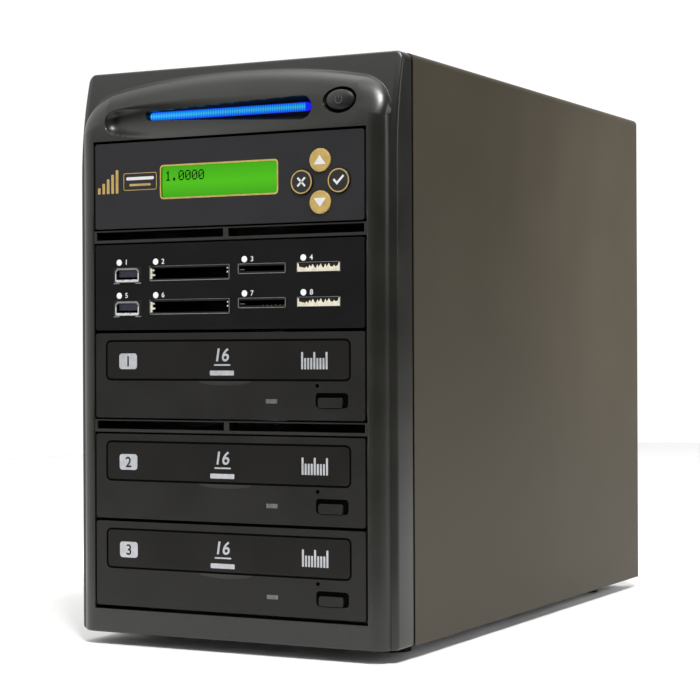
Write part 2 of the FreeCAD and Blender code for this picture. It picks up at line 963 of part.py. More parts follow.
def usb_sockets():
    """Two sockets with the contact tongue inside."""
    bodies = []
    shells = socket_bodies(usb_left, usb_width, usb_height, usb_mouth_width, usb_mouth_height,
                           usb_depth)
    for shell, z_top in zip(shells, socket_tops()):
        z = z_top - usb_height / 2 + (usb_mouth_height - usb_tongue_height) / 4
        tongue = slab(usb_left + usb_width / 2, z, usb_tongue_width, usb_tongue_height,
                      front + panel_thickness, front + usb_depth - socket_back)
        bodies.append(joined([shell, tongue]))
    return Part.makeCompound(bodies)


def compact_slots():
    return Part.makeCompound(socket_bodies(compact_left, compact_width, compact_height,
                                           compact_mouth_width, compact_mouth_height,
                                           compact_depth))


def memory_slots():
    return Part.makeCompound(socket_bodies(memory_left, memory_width, memory_height,
                                           memory_mouth_width, memory_mouth_height,
                                           memory_depth))


def stick_slots():
    return Part.makeCompound(socket_bodies(stick_left, stick_width, stick_height,
                                           stick_mouth_width, stick_mouth_height, stick_depth))


def socket_outlines():
    return [(usb_left, usb_width, usb_height), (compact_left, compact_width, compact_height),
            (memory_left, memory_width, memory_height), (stick_left, stick_width, stick_height)]


def lamp_places():
    """Centres of the small lamps, one above each socket."""
    places = []
    for z_top in socket_tops():
        for outline in socket_outlines():
            places.append((outline[0] + lamp_shift, z_top + lamp_lift))
    return places


def card_panel():
    """Face of the second bay, open for the sockets and their lamps."""
    body = bay_panel(reader_floor)
    tools = []
    deep = front + panel_thickness + overrun
    for z_top in socket_tops():
        for left, width, height in socket_outlines():
            tools.append(slab(left + width / 2, z_top - height / 2, width + socket_gap * 2,
                              height + socket_gap * 2, front - overrun, deep))
    for x, z in lamp_places():
        tools.append(rod_y(lamp_radius + screw_clearance, x, z, front - overrun, deep))
    return cut(body, tools)


def card_lamps():
    return Part.makeCompound([rod_y(lamp_radius, x, z, front, front + lamp_depth)
                              for x, z in lamp_places()])


def reader_board():
    """Board that stands behind the sockets and carries them."""
    y = front + compact_depth
    z_mid = (socket_tops()[0] + socket_tops()[-1]) / 2
    upright = slab(0, z_mid - reader_board_drop / 2, reader_board_width,
                   socket_row_pitch + reader_board_drop, y, y + board_thickness)
    depths = (usb_depth, compact_depth, memory_depth, stick_depth)
    bridges = []
    for z_top in socket_tops():
        for (left, width, height), depth in zip(socket_outlines(), depths):
            if depth < compact_depth:
                bridges.append(slab(left + width / 2, z_top - height / 2, width / 2, height / 2,
                                    front + depth, y))
    return joined([upright] + bridges)


# Disc drives

def drive_face(floor):
    """Plastic face of a drive, open for the tray door, the lamp and the eject button."""
    face = rounded_slab(0, floor + drive_face_height / 2, panel_width, drive_face_height,
                        front, front + drive_face_depth, panel_corner_radius)
    deep = front + drive_face_depth + overrun
    ahead = front - overrun
    tools = [rounded_slab(door_shift, floor + door_rise + door_height / 2,
                          door_width + door_gap * 2, door_height + door_gap * 2,
                          ahead, deep, door_radius + door_gap)]
    tools.append(bowl(door_shift, front, floor + door_rise, scoop_width / 2, scoop_depth,
                      scoop_drop))
    eject_z = floor + eject_rise
    tools.append(rounded_slab(eject_x + eject_recess_shift, eject_z + eject_recess_lift,
                              eject_recess_width, eject_recess_height,
                              ahead, front + eject_recess_depth, eject_recess_radius))
    tools.append(rounded_slab(eject_x, eject_z - eject_drop, eject_width + eject_gap * 2,
                              eject_height + eject_gap * 2, ahead, deep,
                              eject_radius + eject_gap))
    tools.append(slab(drive_lamp_x, floor + eject_rise, drive_lamp_width + slip,
                      drive_lamp_height + slip, ahead, deep))
    tools.append(rod_y(pin_hole_radius, pin_hole_x, floor + pin_hole_rise, ahead, deep))
    return cut(face, tools)


def drive_case(floor):
    """Steel case with the deck, the tray's ledges, the sled's rails and the spindle motor."""
    y0 = front + drive_face_depth
    y1 = y0 + drive_case_length
    z0 = floor + drive_case_lift
    z1 = z0 + drive_case_height
    outer = device_width / 2
    inner = outer - drive_wall
    shell = block(-outer, outer, y0, y1, z0, z1).cut(
        block(-inner, inner, y0 - overrun, y1 - drive_wall, z0 + drive_wall, z1 - drive_wall))
    rail_back = front + sled_front + sled_length + sled_travel + rail_spare
    deck_z = floor + deck_rise
    deck_top = deck_z + deck_thickness
    deck = block(-inner, inner, front + deck_front, front + deck_back, deck_z, deck_top)
    deck = deck.cut(block(-rail_slot_half_width, rail_slot_half_width, front + rail_front,
                          rail_back, z0, z1))
    ledge_top = floor + tray_rise
    parts = [shell, deck]
    for side in (-1, 1):
        x0, x1 = sorted((side * inner, side * (inner - ledge_width)))
        parts.append(block(x0, x1, y0, front + deck_back, ledge_top - ledge_thickness, ledge_top))
        parts.append(rod_y(rail_radius, side * rail_x, deck_z + deck_thickness / 2,
                           front + rail_front, rail_back))
    spindle_y = front + tray_centre
    can_top = deck_top + spindle_can
    parts.append(rod_z(spindle_can_radius, 0, spindle_y, deck_z, can_top))
    gear_x, gear_place = gear_centre()
    parts.append(rod_z(gear_axle_radius, gear_x, gear_place, deck_z,
                       floor + tray_rise - gear_gap * 2))
    switch_y = y0 + eject_flange_depth + eject_travel + slip
    parts.append(block(eject_x - eject_switch / 2, eject_x + eject_switch / 2, switch_y,
                       switch_y + eject_switch, z0, floor + eject_rise + eject_height / 2))
    plug_z = z0 + drive_wall
    parts.append(block(-socket_block_width / 2, socket_block_width / 2,
                       y1 - drive_wall - connector_depth, y1 - drive_wall, plug_z,
                       plug_z + socket_block_height))
    body = joined(parts)
    holes = [rod_x(screw_radius + screw_clearance, y, floor + device_hole_rise, -half, half)
             for y in device_screw_rows()]
    bore = rod_z(spindle_axle_radius + running_fit, 0, spindle_y,
                 can_top - spindle_axle_depth, can_top + overrun)
    return cut(body, holes + [bore])


def tray_plate(floor):
    """Tray with its disc wells, the slot over the spindle and the rack under one side."""
    z0 = floor + tray_rise
    z1 = z0 + tray_thickness
    y0 = front + door_depth
    y1 = front + tray_travel + tray_hold
    centre_y = front + tray_centre
    plate = block(-tray_half_width, tray_half_width, y0, y1, z0, z1)
    plate = round_edges(plate, door_radius,
                        lambda edge: along(edge, VZ) and edge.BoundBox.YMin > centre_y)
    tools = [
        rod_z(disc_radius, 0, centre_y, z1 - disc_recess, z1 + overrun),
        rod_z(inner_recess_radius, 0, centre_y, z1 - disc_recess - inner_recess, z1 + overrun),
        rod_z(tray_slot_width / 2, 0, centre_y, z0 - overrun, z1 + overrun),
        block(-tray_slot_width / 2, tray_slot_width / 2, centre_y, front + tray_slot_end,
              z0 - overrun, z1 + overrun),
    ]
    return joined([plate.cut(Part.makeCompound(tools)), rack(floor, y0, y1)])


def rack(floor, y0, y1):
    """Toothed rib under the tray that the loading gear drives."""
    z1 = floor + tray_rise
    z0 = z1 - rack_height
    pitch = math.pi * gear_module
    rib = block(rack_x + gear_tooth_in, rack_x + gear_tooth_in + rack_width, y0, y1, z0, z1)
    root = rack_x + gear_tooth_in
    tip = rack_x - gear_tooth_out
    root_half = pitch * gear_tooth_share / 2
    tip_half = pitch * gear_tip_share / 2
    gear_place = gear_centre()[1]
    first = math.ceil((y0 + root_half - gear_place) / pitch - 0.5)
    last = math.floor((y1 - root_half - gear_place) / pitch - 0.5)
    teeth = []
    for index in range(first, last + 1):
        y = gear_place + pitch * (index + 0.5)
        corners = [point(root, y - root_half, z0), point(tip, y - tip_half, z0),
                   point(tip, y + tip_half, z0), point(root, y + root_half, z0),
                   point(root, y - root_half, z0)]
        teeth.append(Part.Face(Part.makePolygon(corners)).extrude(VZ * rack_height))
    return joined([rib] + teeth)


def tray_door(floor):
    """Door that clips on the front of the tray."""
    return rounded_slab(door_shift, floor + door_rise + door_height / 2, door_width, door_height,
                        front, front + door_depth, door_radius)


def gear_centre():
    """Axis of the loading gear, in mesh with the rack."""
    return rack_x - gear_radius, front + gear_y


def loading_gear(floor):
    """Toothed wheel on an upright axle that runs the tray in and out."""
    x, y = gear_centre()
    z0 = floor + deck_rise + deck_thickness
    z1 = floor + tray_rise - gear_gap
    pitch_angle = 2 * math.pi / gear_teeth
    root = gear_radius - gear_tooth_in
    tip = gear_radius + gear_tooth_out
    arc_pitch = math.pi * gear_module
    root_half = arc_pitch * gear_tooth_share / 2
    tip_half = arc_pitch * gear_tip_share / 2
    teeth = []
    for index in range(gear_teeth):
        turn = pitch_angle * index
        ahead = point(math.cos(turn), math.sin(turn), 0)
        aside = point(-math.sin(turn), math.cos(turn), 0)
        base = point(x, y, z0)
        inner = root - gear_gap
        corners = [base + ahead * inner - aside * root_half, base + ahead * tip - aside * tip_half,
                   base + ahead * tip + aside * tip_half, base + ahead * inner + aside * root_half]
        corners.append(corners[0])
        teeth.append(Part.Face(Part.makePolygon(corners)).extrude(VZ * (z1 - z0)))
    wheel = joined([rod_z(root, x, y, z0, z1)] + teeth)
    return wheel.cut(rod_z(gear_axle_radius + running_fit, x, y, z0 - overrun, z1 + overrun))


def spindle_hub(floor):
    """Turntable that spins the disc, on an axle in the motor."""
    y = front + tray_centre
    z0 = floor + deck_rise + deck_thickness + spindle_can + spindle_gap
    z1 = z0 + spindle_disc
    table = rod_z(spindle_radius, 0, y, z0, z1)
    nose = Part.makeCone(spindle_nose_radius, spindle_nose_radius - spindle_nose, spindle_nose,
                         point(0, y, z1), VZ)
    axle = rod_z(spindle_axle_radius, 0, y, z0 - spindle_gap - spindle_axle_depth + slip, z0)
    return joined([table, nose, axle])


def laser_sled(floor):
    """Carriage with the lens, running on two rails."""
    z = floor + deck_rise + deck_thickness / 2
    y0 = front + sled_front
    y1 = y0 + sled_length
    body = block(-sled_half_width, sled_half_width, y0, y1, z - sled_below, z + sled_above)
    lens = rod_z(lens_radius, 0, y0 + lens_inset, z + sled_above, z + sled_above + lens_height)
    bores = [rod_y(rail_radius + running_fit, side * rail_x, z, y0 - overrun, y1 + overrun)
             for side in (-1, 1)]
    return cut(joined([body, lens]), bores)


def eject_button(floor):
    """Oblong button with a flange behind the drive's face."""
    z = floor + eject_rise - eject_drop
    y_back = front + drive_face_depth
    cap = rounded_slab(eject_x, z, eject_width, eject_height, front - eject_proud, y_back,
                       eject_radius)
    cap = round_edges(cap, eject_gap, lambda edge: edge.BoundBox.YMax < front)
    flange = slab(eject_x, z, eject_width + eject_flange * 2, eject_height + eject_flange * 2,
                  y_back, y_back + eject_flange_depth)
    return joined([cap, flange])


def drive_lamps():
    return Part.makeCompound([
        slab(drive_lamp_x, floor + eject_rise, drive_lamp_width, drive_lamp_height,
             front, front + drive_face_depth) for floor in drive_floors])


# Screws

def device_floors():
    return drive_floors + [reader_floor, control_floor]


def drive_screws():
    screws = []
    for side in (-1, 1):
        for floor in device_floors():
            for y in device_screw_rows():
                screws.append(screw_x(side, y, floor + device_hole_rise, bracket_outer))
    return Part.makeCompound(screws)


def cover_screw_places():
    x = half - cover_return / 2
    return [(side * x, cover_screw_low + cover_screw_pitch * row)
            for side in (-1, 1) for row in range(cover_screws_per_side)]


def fan_screw_places(x, z):
    reach = fan_screw_pitch / 2
    return [(x + side * reach, z + rise * reach) for side in (-1, 1) for rise in (-1, 1)]


def supply_screw_places():
    z = supply_low + supply_height / 2
    return [(side * supply_screw_x, z + rise * supply_screw_z)
            for side in (-1, 1) for rise in (-1, 1)]


def rear_screws():
    screws = [screw_y(x, z, back) for x, z in cover_screw_places()]
    screws += [screw_y(x, z, rear_outer) for x, z in supply_screw_places()]
    guard_top = rear_outer + guard_wire * 2
    screws += [screw_y(x, z, guard_top) for x, z in fan_screw_places(0, case_fan_z)]
    supply_z = supply_low + supply_height / 2
    guard_top = rear_inner + guard_wire * 2
    screws += [screw_y(x, z, guard_top) for x, z in fan_screw_places(supply_fan_x, supply_z)]
    return Part.makeCompound(screws)


# Chassis

def outer_cover():
    """Sheet cover over the top and both sides, turned in at the back."""
    outer = block(-half, half, seam, back, foot_height, top)
    outer = round_edges(outer, cover_corner_radius,
                        lambda edge: along(edge, VY) and edge.BoundBox.ZMin > foot_height + slip)
    inner = block(-inner_half, inner_half, seam - overrun, back - sheet,
                  foot_height - overrun, roof)
    inner = round_edges(inner, cover_corner_radius - sheet,
                        lambda edge: along(edge, VY) and edge.BoundBox.ZMin > foot_height + slip)
    mouth_half = half - cover_return
    mouth = block(-mouth_half, mouth_half, back - sheet - overrun, back + overrun,
                  foot_height - overrun, top - cover_return)
    holes = [rod_y(screw_radius + screw_clearance, x, z, back - sheet - overrun, back + overrun)
             for x, z in cover_screw_places()]
    return cut(outer, [inner, mouth] + holes)


def bottom_tray():
    """Floor of the chassis with turned-up sides."""
    x = inner_half - slip
    floor = block(-x, x, frame_back, rear_inner, foot_height, floor_top)
    sides = []
    for side in (-1, 1):
        x0, x1 = sorted((side * x, side * (x - sheet)))
        sides.append(block(x0, x1, frame_back, rear_inner, foot_height, foot_height + tray_lip))
    return joined([floor] + sides)


def front_frame():
    """Steel frame behind the bezel, open for the bay devices and the power switch."""
    x = inner_half - slip
    z_top = roof - slip
    plate = block(-x, x, bezel_back, frame_back, foot_height + slip, z_top)
    opening = panel_width / 2 - sheet / 2
    tools = [block(-opening, opening, bezel_back - overrun, frame_back + overrun,
                   windows[0][0] - slip, windows[-1][1])]
    return cut(plate, tools)


def drive_bracket(side):
    """Side plate of the drive cage, with a flange on the floor and holes for the screws."""
    y0 = frame_back
    y1 = front + bracket_back
    plate = block(bracket_inner, bracket_outer, y0, y1, floor_top, bracket_top)
    flange = block(bracket_inner, bracket_outer + bracket_flange, y0, y1, floor_top,
                   floor_top + sheet)
    head = block(bracket_inner, bracket_outer + bracket_flange, y0, y1, bracket_top - sheet,
                 bracket_top)
    tools = []
    for floor in device_floors():
        for y in device_screw_rows():
            tools.append(rod_x(screw_radius + screw_clearance, y, floor + device_hole_rise,
                               bracket_inner - overrun, bracket_outer + overrun))
        tools.append(block(bracket_inner - overrun, bracket_outer + overrun,
                           front + bracket_slot_front, front + bracket_slot_back,
                           floor + device_hole_rise,
                           floor + device_hole_rise + bracket_slot_height))
    bracket = cut(joined([plate, flange, head]), tools)
    return bracket if side > 0 else bracket.mirror(point(0, 0, 0), VX)


def rear_panel():
    """Back of the chassis, open for the power supply, the fan and a row of vents."""
    x = inner_half - slip
    plate = block(-x, x, rear_inner, rear_outer, foot_height + slip, roof - slip)
    deep = rear_outer + overrun
    shallow = rear_inner - overrun
    supply_z = supply_low + supply_height / 2
    tools = [slab(0, supply_z, supply_width - supply_rim * 2, supply_height - supply_rim / 2,
                  shallow, deep)]
    tools.append(rod_y(fan_hole_radius, 0, case_fan_z, shallow, deep))
    hole = screw_radius + screw_clearance
    places = cover_screw_places() + supply_screw_places() + fan_screw_places(0, case_fan_z)
    for place_x, place_z in places:
        tools.append(rod_y(hole, place_x, place_z, shallow, deep))
    for index in range(rear_vent_count):
        middle = rear_vent_low + rear_vent_pitch * index
        tools.append(slab(0, middle, rear_vent_width, rear_vent_height, shallow, deep))
    return cut(plate, tools)


def rubber_feet():
    """Four round feet under the floor."""
    feet = []
    for side in (-1, 1):
        for y in (front + foot_front, front + foot_back):
            foot = Part.makeCone(foot_radius - foot_taper, foot_radius, foot_height,
                                 point(side * foot_side, y, 0), VZ)
            dimple = rod_z(foot_dimple_radius, side * foot_side, y, -overrun, foot_dimple)
            feet.append(foot.cut(dimple))
    return Part.makeCompound(feet)


# Fans

def fan_frame(x, z, y_back):
    """Square fan frame with a motor mount on struts at its back."""
    y_front = y_back - fan_depth
    body = slab(x, z, fan_side, fan_side, y_front, y_back)
    body = round_edges(body, cover_corner_radius, lambda edge: along(edge, VY))
    body = body.cut(rod_y(fan_bore_radius, x, z, y_front - overrun, y_back + overrun))
    strut_front = y_back - fan_strut_depth
    reach = fan_bore_radius + slip
    struts = [
        slab(x, z, reach * 2, fan_strut_width, strut_front, y_back),
        slab(x, z, fan_strut_width, reach * 2, strut_front, y_back),
    ]
    hub = rod_y(fan_hub_radius, x, z, strut_front, y_back)
    bearing = rod_y(fan_bearing_radius, x, z, strut_front - fan_bearing_length, strut_front)
    bore = rod_y(fan_axle_radius + running_fit, x, z, strut_front - fan_bearing_length - overrun,
                 strut_front)
    holes = [rod_y(screw_radius + screw_clearance, px, pz, y_back - screw_length, y_back + overrun)
             for px, pz in fan_screw_places(x, z)]
    return cut(joined([body, hub, bearing] + struts), [bore] + holes)


def fan_rotor(x, z, y_back):
    """Cup with tilted blades on an axle."""
    cup_back = y_back - fan_strut_depth - rotor_gap
    cup_front = cup_back - rotor_depth
    cup_radius = fan_hub_radius
    cup = rod_y(cup_radius, x, z, cup_front, cup_back)
    cup = cup.cut(rod_y(cup_radius - rotor_cup_wall, x, z, cup_front + rotor_cup_wall,
                        cup_back + overrun))
    axle = rod_y(fan_axle_radius, x, z, cup_front + rotor_cup_wall / 2,
                 y_back - fan_strut_depth - rotor_gap)
    tip = fan_bore_radius - rotor_gap
    ring = rod_y(tip, x, z, cup_front, cup_back)
    ring = ring.cut(rod_y(cup_radius - rotor_cup_wall / 2, x, z, cup_front - overrun,
                          cup_back + overrun))
    middle = (cup_front + cup_back) / 2
    blades = []
    for index in range(blade_count):
        blade = Part.makeBox(fan_bore_radius, blade_depth, blade_thickness,
                             point(0, -blade_depth / 2, -blade_thickness / 2))
        blade.rotate(point(0, 0, 0), VX, blade_tilt)
        blade.rotate(point(0, 0, 0), VY, 360 / blade_count * index)
        blade.translate(point(x, middle, z))
        blades.append(blade)
    wheel = joined(blades).common(ring)
    return joined([cup, axle] + wheel.Solids)


def fan_guard(x, z, y_seat):
    """Guard: rings on two crossed bars, with an eye at each screw."""
    y1 = y_seat + guard_wire * 2
    pieces = []
    ring_pitch = fan_bore_radius / guard_rings
    for index in range(guard_rings):
        outer = ring_pitch * (index + 1)
        ring = rod_y(outer, x, z, y_seat + guard_wire / 2, y1 + guard_wire / 2)
        hole = rod_y(outer - guard_wire * 2, x, z, y_seat - overrun, y1 + overrun)
        pieces.append(ring.cut(hole))
    reach = fan_screw_pitch / math.sqrt(2)
    for turn in (45, 135):
        bar = slab(0, 0, reach * 2, guard_wire * 2, y_seat, y1)
        bar.rotate(point(0, 0, 0), VY, turn)
        bar.translate(point(x, 0, z))
        pieces.append(bar)
    for place_x, place_z in fan_screw_places(x, z):
        pieces.append(rod_y(guard_eye_radius, place_x, place_z, y_seat, y1))
    holes = [rod_y(screw_radius + screw_clearance, px, pz, y_seat - overrun, y_seat + overrun)
             for px, pz in fan_screw_places(x, z)]
    return cut(joined(pieces), holes)


def fan_guards():
    supply_z = supply_low + supply_height / 2
    return Part.makeCompound([
        fan_guard(0, case_fan_z, rear_outer),
        fan_guard(supply_fan_x, supply_z, rear_inner),
    ])


# Power supply

def rocker_place():
    return inlet_x, supply_low + rocker_rise


def supply_case():
    """Steel box of the power supply with its fan frame, vents and the rocker's housing."""
    x = supply_width / 2
    y1 = rear_inner
    y0 = y1 - supply_depth
    z0 = supply_low
    z1 = z0 + supply_height
    middle = z0 + supply_height / 2
    wall = supply_wall
    shell = block(-x, x, y0, y1, z0, z1).cut(
        block(wall - x, x - wall, y0 + wall, y1 - wall, z0 + wall, z1 - wall))
    deep = y1 + overrun
    tools = [rod_y(fan_hole_radius, supply_fan_x, middle, y1 - wall - overrun, deep)]
    tools.append(slab(inlet_x, z0 + inlet_rise, inlet_width + slip * 2,
                      inlet_height + slip * 2, y1 - wall - overrun, deep))
    for place_x, place_z in supply_screw_places() + fan_screw_places(supply_fan_x, middle):
        tools.append(rod_y(screw_radius + screw_clearance, place_x, place_z,
                           y1 - wall - overrun, deep))
    for index in range(supply_slot_count):
        slot_x = supply_slot_pitch * (index - (supply_slot_count - 1) / 2)
        tools.append(slab(slot_x, middle, supply_slot_width, supply_slot_height,
                          y0 - overrun, y0 + wall + overrun))
    rx, rz = rocker_place()
    hole_width = rocker_width + rocker_gap * 2
    hole_height = rocker_height + rocker_gap * 2
    tools.append(slab(rx, rz, hole_width, hole_height, y1 - wall - overrun, deep))
    house = slab(rx, rz, hole_width + rocker_house * 2, hole_height + rocker_house * 2,
                 y1 - rocker_house_depth, y1)
    house = house.cut(slab(rx, rz, hole_width, hole_height,
                           y1 - rocker_house_depth + rocker_house, deep))
    pin_y = rear_inner - rocker_depth / 2
    house = house.cut(rod_x(rocker_pin_radius + running_fit, pin_y, rz,
                            rx - hole_width / 2 - rocker_pin_length - slip,
                            rx + hole_width / 2 + rocker_pin_length + slip))
    fan = fan_frame(supply_fan_x, middle, y1 - wall)
    return joined([cut(shell, tools), house, fan])


def mains_inlet():
    """Three-pin inlet: a housing with an open mouth and three blades."""
    z = supply_low + inlet_rise
    y1 = rear_inner
    body = slab(inlet_x, z, inlet_width, inlet_height, y1 - inlet_depth, y1 + inlet_flange)
    mouth_back = y1 + inlet_flange - inlet_mouth_depth
    body = body.cut(slab(inlet_x, z, inlet_mouth_width, inlet_mouth_height, mouth_back,
                         y1 + overrun))
    blades = []
    for shift, rise in ((-blade_pin_pitch, 0), (0, blade_pin_rise), (blade_pin_pitch, 0)):
        blades.append(slab(inlet_x + shift, z + rise, blade_pin_width, blade_pin_height,
                           mouth_back - slip, mouth_back + blade_pin_length))
    return joined([body] + blades)


def mains_rocker():
    """Rocker of the mains switch on two short pins."""
    rx, rz = rocker_place()
    y1 = rear_inner
    pin_y = y1 - rocker_depth / 2
    body = slab(rx, rz, rocker_width, rocker_height, y1 - rocker_depth, y1 + rocker_proud)
    crown_radius = rocker_proud + rocker_depth / 2
    rounded = Part.makeCylinder(rocker_height / 2, rocker_width,
                                point(rx - rocker_width / 2, pin_y, rz), VX)
    body = body.common(rounded)
    valley = rod_x(rocker_height, y1 + crown_radius + rocker_height, rz,
                   rx - rocker_width, rx + rocker_width)
    pin_half = rocker_width / 2 + rocker_gap + rocker_pin_length
    pins = rod_x(rocker_pin_radius, pin_y, rz, rx - pin_half, rx + pin_half)
    rocker = joined([body.cut(valley), pins])
    rocker.rotate(point(rx, pin_y, rz), VX, rocker_swing)
    return rocker


def model():
    """All nodes by name."""
    nodes = {
        "front_bezel": front_bezel(),
        "light_bar": light_bar(),
        "light_board": light_board(),
        "power_button": power_button(),
        "control_panel": control_panel(),
        "display_module": display_module(),
        "key_board": key_board(),
        "controller_board": controller_board(),
        "card_panel": card_panel(),
        "usb_sockets": usb_sockets(),
        "compact_card_slots": compact_slots(),
        "memory_card_slots": memory_slots(),
        "stick_card_slots": stick_slots(),
        "card_lamps": card_lamps(),
        "reader_board": reader_board(),
        "drive_lamps": drive_lamps(),
        "drive_screws": drive_screws(),
        "rear_screws": rear_screws(),
        "outer_cover": outer_cover(),
        "bottom_tray": bottom_tray(),
        "front_frame": front_frame(),
        "right_drive_bracket": drive_bracket(1),
        "left_drive_bracket": drive_bracket(-1),
        "rear_panel": rear_panel(),
        "rubber_feet": rubber_feet(),
        "case_fan_frame": fan_frame(0, case_fan_z, rear_inner),
        "case_fan_rotor": fan_rotor(0, case_fan_z, rear_inner),
        "fan_guards": fan_guards(),
        "supply_case": supply_case(),
        "supply_fan_rotor": fan_rotor(supply_fan_x, supply_low + supply_height / 2,
                                      rear_inner - supply_wall),
        "mains_inlet": mains_inlet(),
        "mains_rocker": mains_rocker(),
    }
    for name, (x, z, radius) in key_places().items():
        nodes[name] = round_key(x, z, radius)
    for index, floor in enumerate(reversed(drive_floors)):
        name = "drive_" + str(index + 1)
        nodes[name + "_face"] = drive_face(floor)
        nodes[name + "_case"] = drive_case(floor)
        nodes[name + "_tray"] = tray_plate(floor)
        nodes[name + "_door"] = tray_door(floor)
        nodes[name + "_loading_gear"] = loading_gear(floor)
        nodes[name + "_spindle"] = spindle_hub(floor)
        nodes[name + "_laser_sled"] = laser_sled(floor)
        nodes[name + "_eject_button"] = eject_button(floor)
    return nodes


def write_parts():
    os.makedirs("parts", exist_ok=True)
    nodes = model()
    for name, shape in nodes.items():
        solids = shape.Solids
        closed = shape.isValid() and all(solid.isClosed() for solid in solids)
        shape.exportStep(os.path.join("parts", name + ".step"))
        print(name, len(solids), "solids", "closed" if closed else "NOT CLOSED",
              round(shape.Volume))
    print(len(nodes), "nodes")


write_parts()
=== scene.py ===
import bpy
import bmesh
import math
from mathutils import Matrix, Vector


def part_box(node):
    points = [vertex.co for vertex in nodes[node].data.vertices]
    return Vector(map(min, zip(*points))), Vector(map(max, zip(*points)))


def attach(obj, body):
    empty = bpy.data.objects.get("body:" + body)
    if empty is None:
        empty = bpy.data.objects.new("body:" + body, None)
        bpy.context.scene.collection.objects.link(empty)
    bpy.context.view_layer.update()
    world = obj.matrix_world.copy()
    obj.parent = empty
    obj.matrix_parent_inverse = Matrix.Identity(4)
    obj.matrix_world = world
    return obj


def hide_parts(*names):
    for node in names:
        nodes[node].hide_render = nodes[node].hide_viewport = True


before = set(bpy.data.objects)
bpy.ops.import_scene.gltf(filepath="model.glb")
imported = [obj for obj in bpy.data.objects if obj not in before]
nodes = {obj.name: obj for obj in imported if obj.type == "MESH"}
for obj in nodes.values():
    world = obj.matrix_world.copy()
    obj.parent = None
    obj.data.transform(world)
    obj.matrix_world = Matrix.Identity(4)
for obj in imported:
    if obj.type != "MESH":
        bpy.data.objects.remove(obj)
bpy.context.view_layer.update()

MM = 0.001


def corners(node):
    """Lowest and highest corner of a CAD node, in millimetres."""
    low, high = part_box(node)
    return low / MM, high / MM


def middle(node):
    """Centre of a CAD node across and up, in millimetres."""
    low, high = corners(node)
    return (low.x + high.x) / 2, (low.z + high.z) / 2


# Places read from the frame, in millimetres
FRONT = corners("drive_1_door")[0].y
HALF = corners("outer_cover")[1].x
CONTROL_LOW = corners("control_panel")[0].z
READER_LOW = corners("card_panel")[0].z
DRIVES = ("drive_1", "drive_2", "drive_3")
PROUD = 0.06


# Materials

FINE_SHARE = 0.45
RAMP_LOW, RAMP_HIGH = 0.38, 0.62
BLOTCH_LOW, BLOTCH_HIGH = 0.35, 0.65

# Sockets of a colour mix: its two colours and the result
MIX_A, MIX_B, MIX_RESULT = 6, 7, 2

# Grain of small parts and of prints
SMALL = {"grain": 3000, "grain_depth": 0.00002}
INK = {"specular": 0.4, "grain": 3200, "grain_depth": 0.00002}


def new_material(name):
    """Material by name, with its node tree and its shader."""
    mat = bpy.data.materials.new(name)
    mat.use_nodes = True
    return mat, mat.node_tree, mat.node_tree.nodes["Principled BSDF"]


def feed(tree, node, inputs):
    """Set inputs of a node, or join them to the output they come from."""
    for key, value in inputs.items():
        if isinstance(value, bpy.types.NodeSocket):
            tree.links.new(value, node.inputs[key])
        else:
            node.inputs[key].default_value = value


def shading(tree, kind, inputs, operation=None):
    """New shader node with its inputs."""
    node = tree.nodes.new("ShaderNode" + kind)
    if operation:
        node.operation = operation
    feed(tree, node, inputs)
    return node


def maths(tree, operation, *values):
    return shading(tree, "Math", dict(enumerate(values)), operation).outputs["Value"]


def ranged(tree, value, low, high, to_low=0.0, to_high=1.0, smooth=False):
    """Output that runs between two values while the input runs through its own range."""
    node = shading(tree, "MapRange", {"Value": value, "From Min": low, "From Max": high,
                                      "To Min": to_low, "To Max": to_high})
    if smooth:
        node.interpolation_type = "SMOOTHSTEP"
    return node.outputs["Result"]


def ramped(tree, value, stops):
    """Colour of a value by a row of stops."""
    node = shading(tree, "ValToRGB", {"Fac": value})
    elements = node.color_ramp.elements
    while len(elements) < len(stops):
        elements.new(0.5)
    for element, (where, colour) in zip(elements, stops):
        element.position = where
        element.color = (*colour, 1)
    return node.outputs["Color"]


def mixed(tree, factor, one, other, blend="MIX"):
    node = shading(tree, "Mix", {"Factor": factor})
    node.data_type = "RGBA"
    node.blend_type = blend
    feed(tree, node, {MIX_A: one, MIX_B: other})
    return node.outputs[MIX_RESULT]


def places(tree):
    """Place on the object as one vector, and its parts."""
    place = shading(tree, "TexCoord", {}).outputs["Object"]
    return place, shading(tree, "SeparateXYZ", {"Vector": place}).outputs


def surface(name, dark, light, rough, metallic=0, specular=0.5, blotch=60, grain=1400,
            grain_depth=0.00004, grain_strength=0.3, stretch=None, emission=None, strength=0.0):
    """Procedural finish: two close colours in soft blotches, uneven roughness and a fine grain."""
    mat, tree, shader = new_material(name)
    place = shading(tree, "TexCoord", {}).outputs["Object"]
    if stretch:
        place = shading(tree, "Mapping", {"Vector": place, "Scale": stretch}).outputs["Vector"]
    large = shading(tree, "TexNoise", {"Vector": place, "Scale": blotch, "Detail": 5.0}).outputs["Fac"]
    fine = shading(tree, "TexNoise", {"Vector": place, "Scale": grain, "Detail": 2.0}).outputs["Fac"]
    rest = maths(tree, "MULTIPLY", large, 1.0 - FINE_SHARE)
    both = maths(tree, "MULTIPLY_ADD", fine, FINE_SHARE, rest)
    bump = shading(tree, "Bump", {"Height": fine, "Strength": grain_strength, "Distance": grain_depth})
    feed(tree, shader, {
        "Base Color": ramped(tree, both, [(RAMP_LOW, dark), (RAMP_HIGH, light)]),
        "Roughness": ranged(tree, large, BLOTCH_LOW, BLOTCH_HIGH, *rough),
        "Normal": bump.outputs["Normal"], "Metallic": metallic, "Specular IOR Level": specular})
    if emission:
        feed(tree, shader, {"Emission Color": (*emission, 1), "Emission Strength": strength})
    return mat


